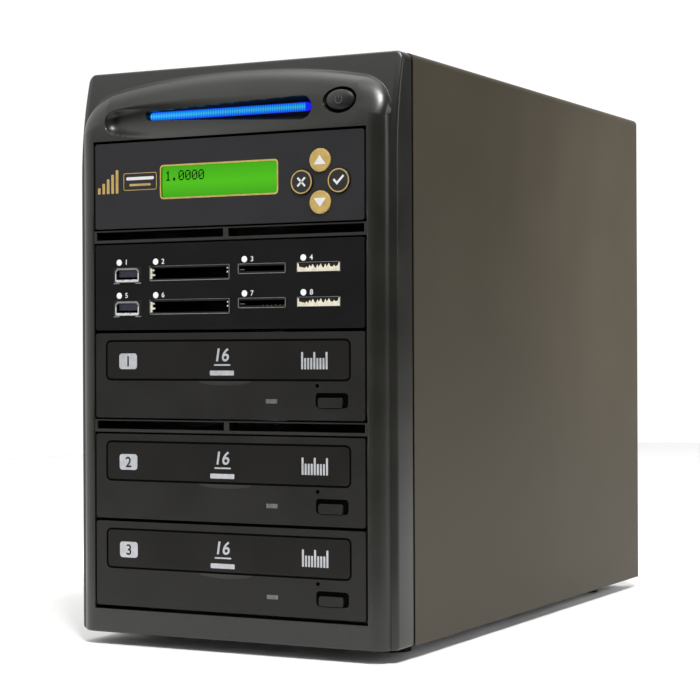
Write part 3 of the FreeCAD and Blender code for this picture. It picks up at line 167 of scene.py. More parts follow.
bezel_plastic = surface(
    "bezel_plastic", (0.0125, 0.0122, 0.0100), (0.0185, 0.0180, 0.0148), (0.29, 0.36), specular=0.52,
    blotch=35, grain=1500, grain_depth=0.00006, grain_strength=0.45)
cover_paint = surface(
    "cover_paint", (0.050, 0.0405, 0.0262), (0.056, 0.0458, 0.0303), (0.52, 0.56), specular=0.26, blotch=25,
    grain=1700, grain_depth=0.00005, grain_strength=0.5)
drive_plastic = surface(
    "drive_plastic", (0.0085, 0.008, 0.007), (0.0125, 0.012, 0.0105), (0.4, 0.5), specular=0.3, blotch=45,
    grain=2400, grain_strength=0.4)
door_plastic = surface(
    "door_plastic", (0.0065, 0.006, 0.005), (0.0095, 0.0088, 0.0076), (0.3, 0.38), specular=0.24, blotch=40,
    **SMALL, grain_strength=0.25)
panel_film = surface(
    "panel_film", (0.014, 0.014, 0.016), (0.0195, 0.0195, 0.0225), (0.42, 0.5), specular=0.36, blotch=50,
    grain=2600, grain_depth=0.00003, grain_strength=0.35)
reader_face = surface(
    "reader_face", (0.0035, 0.0035, 0.0035), (0.0055, 0.0055, 0.0055), (0.4, 0.5), specular=0.17, blotch=55,
    grain=2600, grain_depth=0.00003, grain_strength=0.35)
socket_black = surface(
    "socket_black", (0.004, 0.004, 0.0045), (0.008, 0.008, 0.009), (0.45, 0.6), specular=0.3, blotch=300,
    grain=3000)
button_plastic = surface(
    "button_plastic", (0.012, 0.012, 0.0125), (0.018, 0.018, 0.019), (0.34, 0.42), blotch=200, grain=2600)
# Painted shade: near-black dull material for sheets and linings that stand in for shade in seams, gaps and
# hollows
painted_shade_black = surface(
    "painted_shade_black", (0.001, 0.001, 0.001), (0.002, 0.002, 0.002), (0.85, 0.95), specular=0.02, blotch=150,
    grain=1800)
# Painted highlight: a paler grey than the drive face, laid over the finger scoop where light catches its curve
scoop_painted_highlight = surface("scoop_painted_highlight", (0.016, 0.015, 0.0125), (0.022, 0.0205, 0.0175), (0.4, 0.5), grain=2400)
rubber = surface(
    "rubber", (0.008, 0.008, 0.008), (0.014, 0.014, 0.013), (0.7, 0.85), specular=0.3, blotch=150,
    grain=1800, grain_depth=0.0001)
tray_plastic = surface(
    "tray_plastic", (0.012, 0.012, 0.012), (0.017, 0.017, 0.017), (0.38, 0.5), specular=0.4, grain=2400)
gear_nylon = surface(
    "gear_nylon", (0.55, 0.54, 0.5), (0.66, 0.65, 0.61), (0.35, 0.45), blotch=300, grain=2600)
zinc_steel = surface(
    "zinc_steel", (0.36, 0.365, 0.37), (0.55, 0.555, 0.56), (0.32, 0.5), metallic=1, blotch=70, grain=900,
    grain_depth=0.00002, grain_strength=0.15)
brushed_steel = surface(
    "brushed_steel", (0.42, 0.42, 0.425), (0.62, 0.62, 0.625), (0.22, 0.36), metallic=1, blotch=160,
    grain=1800, grain_depth=0.00002, grain_strength=0.2, stretch=(1.0, 1.0, 0.05))
screw_steel = surface(
    "screw_steel", (0.3, 0.3, 0.31), (0.5, 0.5, 0.51), (0.3, 0.42), metallic=1, blotch=400, grain=2500,
    grain_depth=0.00002)
black_screw = surface(
    "black_screw", (0.018, 0.018, 0.019), (0.03, 0.03, 0.032), (0.3, 0.42), metallic=0.7, blotch=400,
    grain=2500, grain_depth=0.00002)
bright_metal = surface(
    "bright_metal", (0.72, 0.71, 0.68), (0.88, 0.87, 0.84), (0.16, 0.3), metallic=1, blotch=400, **SMALL)
contact_gold = surface(
    "contact_gold", (0.7, 0.48, 0.16), (0.86, 0.62, 0.26), (0.2, 0.32), metallic=1, blotch=500, **SMALL)
pin_bronze = surface(
    "pin_bronze", (0.05, 0.035, 0.015), (0.09, 0.06, 0.03), (0.35, 0.5), metallic=1, blotch=500, **SMALL)
tin_plate = surface(
    "tin_plate", (0.62, 0.62, 0.62), (0.82, 0.82, 0.82), (0.28, 0.4), metallic=0.15, blotch=400, **SMALL)
tongue_blue = surface(
    "tongue_blue", (0.030, 0.034, 0.055), (0.045, 0.05, 0.078), (0.3, 0.4), blotch=300, **SMALL)
cream_plate = surface(
    "cream_plate", (0.72, 0.66, 0.5), (0.9, 0.87, 0.74), (0.3, 0.45), blotch=350, **SMALL, grain_strength=0.2)
gold_ink = surface("gold_ink", (0.52, 0.345, 0.095), (0.66, 0.46, 0.15), (0.42, 0.52), blotch=400, **INK)
white_ink = surface("white_ink", (0.78, 0.78, 0.77), (0.9, 0.9, 0.9), (0.45, 0.55), blotch=300, **INK)
grey_ink = surface("grey_ink", (0.42, 0.43, 0.45), (0.56, 0.57, 0.6), (0.45, 0.55), blotch=300, **INK)
faint_ink = surface("faint_ink", (0.085, 0.088, 0.1), (0.13, 0.133, 0.15), (0.4, 0.5), blotch=300, **INK)
lamp_lens = surface(
    "lamp_lens", (0.86, 0.86, 0.84), (0.95, 0.95, 0.94), (0.2, 0.3), blotch=500, **SMALL,
    emission=(1.0, 1.0, 1.0), strength=0.12)
drive_lens = surface("drive_lens", (0.11, 0.11, 0.112), (0.16, 0.16, 0.162), (0.2, 0.3), blotch=500, **SMALL)
board_green = surface(
    "board_green", (0.012, 0.045, 0.02), (0.02, 0.07, 0.03), (0.3, 0.42), blotch=220, grain_depth=0.00003)
fan_plastic = surface(
    "fan_plastic", (0.011, 0.011, 0.011), (0.017, 0.017, 0.017), (0.35, 0.45), blotch=120, grain=2400)
laser_metal = surface(
    "laser_metal", (0.3, 0.31, 0.32), (0.45, 0.46, 0.47), (0.3, 0.45), metallic=1, blotch=200, grain=1600)
floor_paper = surface(
    "floor_paper", (0.86, 0.86, 0.855), (0.9, 0.9, 0.895), (0.6, 0.75), specular=0.2, blotch=3, grain=300,
    grain_depth=0.0002, grain_strength=0.1)
dot_ink = surface(
    "dot_ink", (0.0, 0.003, 0.002), (0.001, 0.006, 0.003), (0.5, 0.6), specular=0.05, blotch=500)

RIB_DARK, RIB_BRIGHT = 0.4, 1.15
TIP_BEFORE, TIP_AFTER = 0.7, 0.5
TIP_BLUE = (0.012, 0.012, 0.75, 1)


def glow_ramp(name, stops, low, high, strength, rib=None, end=None):
    """Lit plastic whose colour changes with height, with optional bands across and a deep blue end."""
    mat, tree, shader = new_material(name)
    place, parts = places(tree)
    colour = ramped(tree, ranged(tree, parts["Z"], low * MM, high * MM), stops)
    if rib:
        wave = shading(tree, "TexWave", {"Vector": place, "Scale": rib, "Distortion": 0.0})
        wave.bands_direction = "X"
        shade = ranged(tree, wave.outputs["Fac"], 0.0, 1.0, RIB_DARK, RIB_BRIGHT)
        colour = mixed(tree, 1.0, colour, shade, "MULTIPLY")
    if end:
        tip = ranged(tree, parts["X"], (end - TIP_BEFORE) * MM, (end + TIP_AFTER) * MM, smooth=True)
        colour = mixed(tree, tip, colour, TIP_BLUE)
    feed(tree, shader, {"Emission Color": colour, "Emission Strength": strength,
                        "Base Color": (0.0, 0.004, 0.008, 1), "Specular IOR Level": 0.15, "Roughness": 0.4})
    return mat


BAR_LOW, BAR_HIGH = corners("light_bar")
BAR_Z = middle("light_bar")[1]
CYAN = (0.05, 0.5, 0.93)
DEEP = (0.02, 0.05, 1.0)
BAR_RIBS = 330.0
BAR_TIP = 2.8
light_glow = glow_ramp("light_glow", [(0.0, DEEP), (0.2, (0.0, 0.26, 1.0)), (0.5, CYAN),
                                      (0.8, (0.0, 0.3, 1.0)), (1.0, DEEP)],
                       BAR_LOW.z, BAR_HIGH.z, 1.1, rib=BAR_RIBS, end=BAR_HIGH.x - BAR_TIP)

# Painted glow: blue emission on the pocket's right end stands in for the light bar's light falling there
GLOW_BEFORE, GLOW_PAST = 0.8, 2.2
GLOW_NEAR, GLOW_FAR = 1.2, 4.6
PAINTED_GLOW_BLUE = (0.012, 0.02, 0.85, 1)
PAINTED_GLOW_STRENGTH = 1.3


def pocket_with_painted_glow():
    """Dull plastic of the pocket, with a painted glow of the bar's blue light on its right end, fading away from
    the bar.
    """
    mat = surface("pocket_plastic", (0.004, 0.004, 0.0045), (0.007, 0.007, 0.008), (0.5, 0.6),
                  specular=0.08, grain=2400)
    tree = mat.node_tree
    parts = places(tree)[1]
    near = ranged(tree, parts["X"], (BAR_HIGH.x - GLOW_BEFORE) * MM, (BAR_HIGH.x + GLOW_PAST) * MM,
                  0.0, PAINTED_GLOW_STRENGTH, smooth=True)
    away = maths(tree, "ABSOLUTE", maths(tree, "SUBTRACT", parts["Z"], BAR_Z * MM))
    fade = ranged(tree, away, GLOW_NEAR * MM, GLOW_FAR * MM, 1.0, 0.0, smooth=True)
    feed(tree, tree.nodes["Principled BSDF"], {"Emission Color": PAINTED_GLOW_BLUE,
                                               "Emission Strength": maths(tree, "MULTIPLY", near, fade)})
    return mat


pocket_plastic = pocket_with_painted_glow()

DISPLAY_X = -3.5
DISPLAY_Z = CONTROL_LOW + 21.6
DISPLAY_WIDTH = 64.4
DISPLAY_HEIGHT = 15.8
display_glow = glow_ramp("display_glow", [(0.0, (0.055, 0.40, 0.0)), (0.45, (0.085, 0.56, 0.0)),
                                          (1.0, (0.055, 0.44, 0.0))],
                         DISPLAY_Z - DISPLAY_HEIGHT / 2, DISPLAY_Z + DISPLAY_HEIGHT / 2, 0.92)


# Carried-over nodes

NODE_SMOOTH = math.radians(35.0)
SHARP_ABOVE = math.radians(50.0)
DOOR_EDGE, GUARD_EDGE = 0.25, 0.75


def finish(node, mat, bevel):
    """Give a CAD node its material, smooth normals and softened edges."""
    obj = nodes[node]
    obj.data.materials.clear()
    obj.data.materials.append(mat)
    obj.data.shade_smooth()
    obj.data.set_sharp_from_angle(angle=NODE_SMOOTH)
    if bevel:
        soft = obj.modifiers.new("soft_edges", "BEVEL")
        soft.width = bevel * MM
        soft.segments = 2
        soft.limit_method = "ANGLE"
        soft.angle_limit = SHARP_ABOVE
        soft.harden_normals = False


def dress_nodes():
    finishes = [
        (bezel_plastic, ["front_bezel"]),
        (light_glow, ["light_bar"]),
        (board_green, ["light_board", "key_board", "controller_board", "reader_board"]),
        (button_plastic, ["power_button", "key_back", "key_enter", "mains_rocker"]),
        (panel_film, ["control_panel"]),
        (socket_black, ["display_module", "usb_sockets", "compact_card_slots", "memory_card_slots",
                        "stick_card_slots", "mains_inlet"]),
        (reader_face, ["card_panel"]),
        (lamp_lens, ["card_lamps"]),
        (drive_lens, ["drive_lamps"]),
        (screw_steel, ["drive_screws"]),
        (black_screw, ["rear_screws"]),
        (cover_paint, ["outer_cover", "rear_panel"]),
        (zinc_steel, ["bottom_tray", "front_frame", "right_drive_bracket", "left_drive_bracket"]),
        (rubber, ["rubber_feet"]),
        (fan_plastic, ["case_fan_frame", "case_fan_rotor", "supply_fan_rotor"]),
        (bright_metal, ["fan_guards"]),
        (brushed_steel, ["supply_case"]),
        (gold_ink, ["key_up", "key_down"]),
    ]
    parts = [(drive_plastic, "face"), (zinc_steel, "case"), (tray_plastic, "tray"), (door_plastic, "door"),
             (gear_nylon, "loading_gear"), (laser_metal, "spindle"), (laser_metal, "laser_sled"),
             (drive_plastic, "eject_button")]
    finishes += [(mat, [drive + "_" + part for drive in DRIVES]) for mat, part in parts]
    soft = {drive + "_door": DOOR_EDGE for drive in DRIVES}
    soft["fan_guards"] = GUARD_EDGE
    for mat, names in finishes:
        for node in names:
            finish(node, mat, soft.get(node))


dress_nodes()


# Piece makers


def put(name, data):
    """New object in the scene."""
    obj = bpy.data.objects.new(name, data)
    bpy.context.scene.collection.objects.link(obj)
    return obj


def add_piece(name, mesh, mat, body="tower", smooth=None):
    """Put a finished mesh in the scene, in metres, on a body."""
    mesh.name = name
    mesh.materials.append(mat)
    if smooth:
        mesh.shade_smooth()
        mesh.set_sharp_from_angle(angle=math.radians(smooth))
    obj = put(name, mesh)
    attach(obj, body)
    return obj


def taken_from(shape):
    """Mesh of a finished bmesh."""
    mesh = bpy.data.meshes.new("made")
    shape.to_mesh(mesh)
    shape.free()
    return mesh


def print_mesh(outlines, y, depth=PROUD):
    """Thin plate that faces the front: closed outlines in X and Z, where an inner one is a hole."""
    curve = bpy.data.curves.new("print", "CURVE")
    curve.dimensions = "2D"
    curve.fill_mode = "BOTH"
    curve.extrude = depth / 2 * MM
    for outline in outlines:
        spline = curve.splines.new("POLY")
        spline.points.add(len(outline) - 1)
        for spot, (x, z) in zip(spline.points, outline):
            spot.co = (x * MM, z * MM, 0, 1)
        spline.use_cyclic_u = True
    return standing_mesh(curve, y - depth / 2)


def standing_mesh(curve, y):
    """Mesh of a flat curve, stood up to face the front at a depth."""
    holder = put("holder", curve)
    bpy.context.view_layer.update()
    mesh = bpy.data.meshes.new_from_object(holder.evaluated_get(bpy.context.evaluated_depsgraph_get()))
    mesh.transform(Matrix.Translation((0, y * MM, 0)) @ Matrix.Rotation(math.radians(90), 4, "X"))
    bpy.data.objects.remove(holder)
    bpy.data.curves.remove(curve)
    return mesh


CAPITAL_SHARE = 0.7
NUMBER_WEIGHT = 0.02


def number_mesh(text, x, z, size, y, shear=0.0):
    """Plain numeral, centred on x and z, with its height in millimetres."""
    curve = bpy.data.curves.new("number", "FONT")
    curve.body = text
    curve.align_x = "CENTER"
    curve.align_y = "CENTER"
    curve.size = size * MM / CAPITAL_SHARE
    curve.extrude = PROUD / 2 * MM
    curve.shear = shear
    curve.offset = size * NUMBER_WEIGHT * MM
    mesh = standing_mesh(curve, 0)
    xs = [v.co.x for v in mesh.vertices]
    zs = [v.co.z for v in mesh.vertices]
    shift = Vector((x * MM - (min(xs) + max(xs)) / 2, (y - PROUD / 2) * MM,
                    z * MM - (min(zs) + max(zs)) / 2))
    mesh.transform(Matrix.Translation(shift))
    return mesh


def patch(y, *rectangle):
    """Print of one rectangle with round corners."""
    return print_mesh([round_outline(*rectangle)], y)


def merged(meshes):
    """One mesh from several."""
    whole = bmesh.new()
    for mesh in meshes:
        whole.from_mesh(mesh)
        bpy.data.meshes.remove(mesh)
    return taken_from(whole)


def round_outline(x, z, width, height, radius, steps=6):
    """Rectangle with round corners."""
    points = []
    for corner, (sx, sz) in enumerate(((1, 1), (-1, 1), (-1, -1), (1, -1))):
        cx = x + sx * (width / 2 - radius)
        cz = z + sz * (height / 2 - radius)
        for step in range(steps + 1):
            turn = math.radians(90 * (corner + step / steps))
            points.append((cx + radius * math.cos(turn), cz + radius * math.sin(turn)))
    return points


def circle_outline(x, z, radius, steps=48):
    return [(x + radius * math.cos(2 * math.pi * i / steps), z + radius * math.sin(2 * math.pi * i / steps))
            for i in range(steps)]


def moved(x, z, outline):
    """Outline given from a point, at its place."""
    return [(x + px, z + pz) for px, pz in outline]


def box_mesh(boxes):
    """Boxes as one mesh, each by its two corners."""
    shape = bmesh.new()
    for x0, x1, y0, y1, z0, z1 in boxes:
        spots = [shape.verts.new((x * MM, y * MM, z * MM)) for x in (x0, x1) for y in (y0, y1) for z in (z0, z1)]
        for face in ((0, 1, 3, 2), (4, 6, 7, 5), (0, 4, 5, 1), (2, 3, 7, 6), (0, 2, 6, 4), (1, 5, 7, 3)):
            shape.faces.new([spots[i] for i in face])
    bmesh.ops.recalc_face_normals(shape, faces=shape.faces)
    return taken_from(shape)


def placed(x, z, boxes):
    """Boxes given from a point of the bay plane, at their place."""
    return [(x + x0, x + x1, FRONT + y0, FRONT + y1, z + z0, z + z1) for x0, x1, y0, y1, z0, z1 in boxes]


# Moulded front: a fine relief that stands for the bezel, with its windows and vents

BROW_GAP = 0.7
WINDOW_GAP = 0.9
FOOT_GAP = 1.9
BROW = corners("control_panel")[1].z + BROW_GAP
WINDOWS = ((corners("drive_3_face")[0].z - FOOT_GAP, corners("drive_2_face")[1].z + WINDOW_GAP),
           (corners("drive_1_face")[0].z - WINDOW_GAP, corners("card_panel")[1].z + WINDOW_GAP),
           (CONTROL_LOW - WINDOW_GAP, BROW + 0.6))
WINDOW_HALF = corners("control_panel")[1].x + 1.1
WINDOW_WALL = 9
BEZEL_LOW, BEZEL_HIGH = corners("front_bezel")
BUTTON_X, BUTTON_Z = middle("power_button")
TOP_CORNER, LOW_CORNER = 4, 2
VENT_INSET = 1.4
VENT_EDGES = (VENT_INSET, WINDOW_HALF - VENT_INSET)
VENT_HALF, VENT_LIFT = 2, 0.4
BAND_SINK = 0.5
SEAM_STEP, SEAM_INSET, SEAM_TUCK = 1.2, 0.3, 1.2

# Raised arch: its outline, how its edge rolls over and how far it stands ahead of the shell
POD_HALF = 83.3
SHOULDER_X, SHOULDER_Z, SHOULDER_R = 65.6, BROW + 8, 17.9
SHOULDER_START, SHOULDER_END = -0.16, 1.36
CROWN_R = 317
CROWN_Z = BROW + 33.2 - CROWN_R
ROLL, SHOULDER_ROLL = 8, 7
DROP, SHOULDER_DROP = 6, 1
BROW_START, BROW_R = 1.2, 50
SHELL_DEPTH, SHELL_START, SHELL_R = 6, 16.8, 180
FLANGE_X, FLANGE_FALL = 84, 0.3
ROUND_OFF = 1.2
STEEP = 10

# Scoop of the brow: a slanting cone, small at the left and wide at the right
SCOOP_START, SCOOP_END = (-62.5, BROW + 10), (62, BROW + 13)
SCOOP_R, SCOOP_GROWTH = 6.2, 30
SCOOP_LIFT, SCOOP_RISE = -0.7, -34.7
SCOOP_BANK = 2

# Pocket and slot of the light bar
BAR_END = 2
POCKET_TILT = 1.1
POCKET_RIM, POCKET_GROWTH = 2.25, 3.4
POCKET_LIP, POCKET_BANK, POCKET_DROP = 1, 8, 7.4
SLOT_HALF, SLOT_DEPTH = 2.15, 9.6

# Oval ring round the power button
RING_WIDE, RING_TALL, RING_DEPTH = 8.9, 6.4, 12

# Widths over which two forms run into each other
SHELL_BLEND, SCOOP_BLEND, EDGE_BLEND = 1.2, 1.6, 0.5


def bend(rise, radius):
    """How far an arc has fallen back at a height above its start."""
    rise = max(rise, 0.0)
    return radius - math.sqrt(radius * radius - rise * rise)


def soft_max(a, b, k):
    """The larger of two depths, blended over k millimetres."""
    share = max(k - abs(a - b), 0.0) / k
    return max(a, b) + share * share * k / 4


def pod_inside(x, z):
    """How far a point lies inside the arched outline, and how much of its shoulder it is on."""
    x = abs(x)
    dx, dz = x - SHOULDER_X, z - SHOULDER_Z
    turn = math.atan2(dz, dx)
    if SHOULDER_START < turn < SHOULDER_END:
        share = (turn - SHOULDER_START) / (SHOULDER_END - SHOULDER_START)
        return SHOULDER_R - math.hypot(dx, dz), math.sin(math.pi * share)
    crown = CROWN_R - math.hypot(x, z - CROWN_Z)
    return min(POD_HALF - x, crown), 0.0


def capsule(x, z, start, end):
    """Distance to a slanting line, and the share of the way along it."""
    ax, az = start
    bx, bz = end
    run = (bx - ax) ** 2 + (bz - az) ** 2
    share = min(max(((x - ax) * (bx - ax) + (z - az) * (bz - az)) / run, 0.0), 1.0)
    return math.hypot(x - ax - share * (bx - ax), z - az - share * (bz - az)), share


def scoop_depth(x, z):
    away, share = capsule(x, z, SCOOP_START, SCOOP_END)
    radius = SCOOP_R + SCOOP_GROWTH * share
    lift = SCOOP_LIFT + SCOOP_RISE * share
    if away >= radius:
        return lift - SCOOP_BANK * (away - radius)
    return lift + math.sqrt(radius * radius - away * away)


def pocket_depth(x, z):
    left, right = BAR_LOW.x + BAR_END, BAR_HIGH.x - BAR_END
    bar = capsule(x, z, (left, BAR_Z), (right, BAR_Z))[0]
    if bar <= SLOT_HALF:
        return SLOT_DEPTH
    away, share = capsule(x, z, (left, BAR_Z), (right, BAR_Z - POCKET_TILT))
    rim = POCKET_RIM + POCKET_GROWTH * share
    if away >= rim:
        return POCKET_LIP - POCKET_BANK * (away - rim)
    return POCKET_LIP + POCKET_DROP * math.sqrt(1.0 - (away / rim) ** 3)


def ring_depth(x, z):
    reach = math.hypot((x - BUTTON_X) / RING_WIDE, (z - BUTTON_Z) / RING_TALL) - 1.0
    return min(-reach * RING_TALL * STEEP, RING_DEPTH)


def brow_fall(z):
    return bend(z - BROW - BROW_START, BROW_R)


def corner_at(z):
    return TOP_CORNER if z > BROW else LOW_CORNER


def edge_inside(x, z):
    """Distance to the outer outline with its round corners."""
    corner = corner_at(z)
    across = HALF - abs(x)
    up = min(BEZEL_HIGH.z - z, z - BEZEL_LOW.z)
    if across < corner and up < corner:
        return corner - math.hypot(corner - across, corner - up)
    return min(across, up)


def quarter(share):
    """Fall of a rounded edge, from none at its start to one at its end."""
    return 1.0 - math.sqrt(1.0 - share * share)


def relief(x, z):
    """Depth of the moulded front behind the bay plane."""
    inside, shoulder = pod_inside(x, z)
    roll = ROLL + SHOULDER_ROLL * shoulder
    drop = DROP + SHOULDER_DROP * shoulder
    pod = brow_fall(z)
    if inside < 0:
        pod += drop - STEEP * inside
    elif inside < roll:
        pod += drop * quarter(1.0 - inside / roll)
    shell = SHELL_DEPTH + bend(z - BROW + SHELL_START, SHELL_R) + FLANGE_FALL * max(abs(x) - FLANGE_X, 0.0)
    depth = -soft_max(-pod, -shell, SHELL_BLEND)
    if z > BROW:
        depth = soft_max(depth, scoop_depth(x, z), SCOOP_BLEND)
        depth = soft_max(depth, pocket_depth(x, z), EDGE_BLEND)
        depth = soft_max(depth, ring_depth(x, z), EDGE_BLEND)
    edge = edge_inside(x, z)
    if edge < ROUND_OFF:
        depth += ROUND_OFF * quarter(1.0 - max(edge, 0.0) / ROUND_OFF)
    return depth


def spread(stops):
    """Grid lines through every stop, no further apart than the step given with the next one."""
    lines = [stops[0][0]]
    for (low, _), (high, step) in zip(stops, stops[1:]):
        count = max(math.ceil((high - low) / step), 1)
        lines += [low + (high - low) * i / count for i in range(1, count + 1)]
    return lines


# Stops of the relief's grid, each with the largest step on the way to it
SIDE_STOPS = ((0, 0), (VENT_EDGES[0], 0.7), (50, 0.5), (71, 0.25), (VENT_EDGES[1], 0.4),
              (WINDOW_HALF, 0.4), (78, 0.5), (85.6, 0.3), (HALF, 0.14))
FOOT_STOPS = ((BEZEL_LOW.z, 0), (BEZEL_LOW.z + 1.4, 0.14), (WINDOWS[0][0], 3))
BROW_STOPS = ((BROW + 4, 0.5), (BROW + 20, 0.25), (BEZEL_HIGH.z - 1.4, 0.4), (BEZEL_HIGH.z, 0.14))
WINDOW_STEP, VENT_STEP = 6, 2
BANDS = [(lower[1], upper[0]) for lower, upper in zip(WINDOWS, WINDOWS[1:])]
VENTS = [(low + high) / 2 + VENT_LIFT for low, high in BANDS]


def grid_lines():
    right = spread(SIDE_STOPS)
    xs = [-x for x in reversed(right[1:])] + right
    stops = list(FOOT_STOPS)
    for window in WINDOWS:
        stops.append((window[1], WINDOW_STEP))
        for (low, high), vent in zip(BANDS, VENTS):
            if low == window[1]:
                stops += [(vent - VENT_HALF, VENT_STEP), (vent + VENT_HALF, VENT_STEP), (high, VENT_STEP)]
    return xs, spread(stops + list(BROW_STOPS))


def grid_row(shape, xs, z):
    """Vertices of one level, drawn in at the outer corners."""
    up = min(BEZEL_HIGH.z - z, z - BEZEL_LOW.z)
    corner = corner_at(z)
    width = HALF
    if up < corner:
        width -= corner - math.sqrt(max(corner * corner - (corner - up) ** 2, 0.0))
    row = []
    for x in xs:
        place = x
        if abs(x) > WINDOW_HALF:
            squeeze = (width - WINDOW_HALF) / (HALF - WINDOW_HALF)
            place = math.copysign(WINDOW_HALF + (abs(x) - WINDOW_HALF) * squeeze, x)
        in_band = abs(place) <= WINDOW_HALF and any(low <= z <= high for low, high in BANDS)
        depth = relief(place, z) + (BAND_SINK if in_band else 0.0)
        row.append(shape.verts.new((place * MM, (FRONT + depth) * MM, z * MM)))
    return row


def open_cell(x, z):
    if abs(x) >= WINDOW_HALF:
        return False
    if any(low < z < high for low, high in WINDOWS):
        return True
    return VENT_EDGES[0] < abs(x) < VENT_EDGES[1] and any(abs(z - vent) < VENT_HALF for vent in VENTS)


def in_pocket(x, z):
    return z > BROW and pocket_depth(x, z) > max(brow_fall(z), scoop_depth(x, z)) + EDGE_BLEND


def sheet_faces(shape, xs, zs, rows):
    """Faces of the front, without the windows and vents, the pocket's with their own material."""
    for (z0, z1), (one, other) in zip(zip(zs, zs[1:]), zip(rows, rows[1:])):
        for index, (x0, x1) in enumerate(zip(xs, xs[1:])):
            x, z = (x0 + x1) / 2, (z0 + z1) / 2
            if not open_cell(x, z):
                face = shape.faces.new((one[index], one[index + 1], other[index + 1], other[index]))
                face.material_index = 1 if in_pocket(x, z) else 0
    loose = [v for v in shape.verts if not v.link_faces]
    bmesh.ops.delete(shape, geom=loose, context="VERTS")


def sheet_walls(shape):
    """Walls back from every open edge. Returns the rear edges of the outer one."""
    near = 1.0
    rims = [edge for edge in shape.edges if len(edge.link_faces) == 1]
    made = bmesh.ops.extrude_edge_only(shape, edges=rims)["geom"]
    outline = set()
    for vert in made:
        if isinstance(vert, bmesh.types.BMVert):
            x, z = vert.co.x / MM, vert.co.z / MM
            outside = abs(x) > WINDOW_HALF + near or z < BEZEL_LOW.z + near or z > BEZEL_HIGH.z - near
            vert.co.y = (BEZEL_HIGH.y - SEAM_STEP if outside else FRONT + WINDOW_WALL) * MM
            if outside:
                outline.add(vert)
    return [edge for edge in made if isinstance(edge, bmesh.types.BMEdge) and outline.issuperset(edge.verts)]


def seam_groove(shape, edges):
    """Step at the rear rim that runs on under the cover, with its faces black as painted shade in the seam."""
    level = (BEZEL_LOW.z + BEZEL_HIGH.z) / 2
    for step_in, back in ((SEAM_INSET, BEZEL_HIGH.y - SEAM_STEP), (0.0, BEZEL_HIGH.y + SEAM_TUCK)):
        made = bmesh.ops.extrude_edge_only(shape, edges=edges)["geom"]
        edges = [edge for edge in made if isinstance(edge, bmesh.types.BMEdge)]
        for item in made:
            if isinstance(item, bmesh.types.BMVert):
                item.co.x -= item.co.x / HALF * step_in
                item.co.z -= (item.co.z / MM - level) / (BEZEL_HIGH.z - level) * step_in * MM
                item.co.y = back * MM
            elif isinstance(item, bmesh.types.BMFace):
                # Painted shade: the step's faces take the black third material
                item.material_index = 2


def bezel_front():
    shape = bmesh.new()
    xs, zs = grid_lines()
    rows = [grid_row(shape, xs, z) for z in zs]
    sheet_faces(shape, xs, zs, rows)
    seam_groove(shape, sheet_walls(shape))
    bmesh.ops.recalc_face_normals(shape, faces=shape.faces)
    piece = add_piece("bezel_front", taken_from(shape), bezel_plastic, smooth=40)
    # Second material: pocket plastic with its painted glow; third: black of painted shade in the seam step
    piece.data.materials.append(pocket_plastic)
    piece.data.materials.append(painted_shade_black)
    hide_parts("front_bezel")


bezel_front()


# Display and keys

SCREEN_SINK = 0.8
DOT_ROWS = {
    "0": ("01110", "10001", "10011", "10101", "11001", "10001", "01110"),
    "1": ("00100", "01100", "00100", "00100", "00100", "00100", "01110"),
    ".": ("00000", "00000", "00000", "00000", "00000", "01100", "01100"),
}
DOT_PITCH_X, DOT_PITCH_Z, DOT_SIDE, DOT_DEPTH = 0.62, 0.68, 0.66, 0.03
SIGN_COLUMNS = 6
TEXT_INSET, TEXT_DROP = 2, 2.6


def display_pieces():
    y = FRONT + SCREEN_SINK
    screen = patch(y, DISPLAY_X, DISPLAY_Z, DISPLAY_WIDTH - 0.5, DISPLAY_HEIGHT - 0.5, 1.3)
    add_piece("display_screen", screen, display_glow)
    outer = round_outline(DISPLAY_X - 0.2, DISPLAY_Z, DISPLAY_WIDTH + 0.8, DISPLAY_HEIGHT + 0.7, 1.9)
    inner = round_outline(DISPLAY_X - 0.2, DISPLAY_Z, DISPLAY_WIDTH - 0.7, DISPLAY_HEIGHT - 0.8, 1.3)
    add_piece("display_border", print_mesh([outer, inner], FRONT), gold_ink)
    add_piece("display_digits", dot_digits("1.0000", y - PROUD), dot_ink)


def dot_digits(text, y):
    """Numerals made of square dots, five wide and seven high."""
    left = DISPLAY_X - DISPLAY_WIDTH / 2 + TEXT_INSET
    high = DISPLAY_Z + DISPLAY_HEIGHT / 2 - TEXT_DROP
    boxes = []
    for place, sign in enumerate(text):
        for row, bits in enumerate(DOT_ROWS[sign]):
            for column, bit in enumerate(bits):
                if bit == "1":
                    x = left + (place * SIGN_COLUMNS + column) * DOT_PITCH_X
                    z = high - row * DOT_PITCH_Z
                    boxes.append((x, x + DOT_SIDE, y - DOT_DEPTH, y, z - DOT_SIDE, z))
    return box_mesh(boxes)


ARROW = ((-3.2, -2), (3.2, -2), (0, 2.3))
TICK = ((-2.9, 0.2), (-2.2, 0.9), (-0.8, -0.6), (2.3, 2.5), (3, 1.8), (-0.8, -2.1))
RING_OUTER, RING_INNER = 5.5, 4.95
CROSS_LONG, CROSS_WIDE = 5.6, 0.95


def turned_bar(length, width, angle):
    """Outline of a bar through the origin, turned by an angle in degrees."""
    turn = math.radians(angle)
    along = Vector((math.cos(turn), math.sin(turn))) * length / 2
    aside = Vector((-math.sin(turn), math.cos(turn))) * width / 2
    return [tuple(along + aside), tuple(aside - along), tuple(-along - aside), tuple(along - aside)]


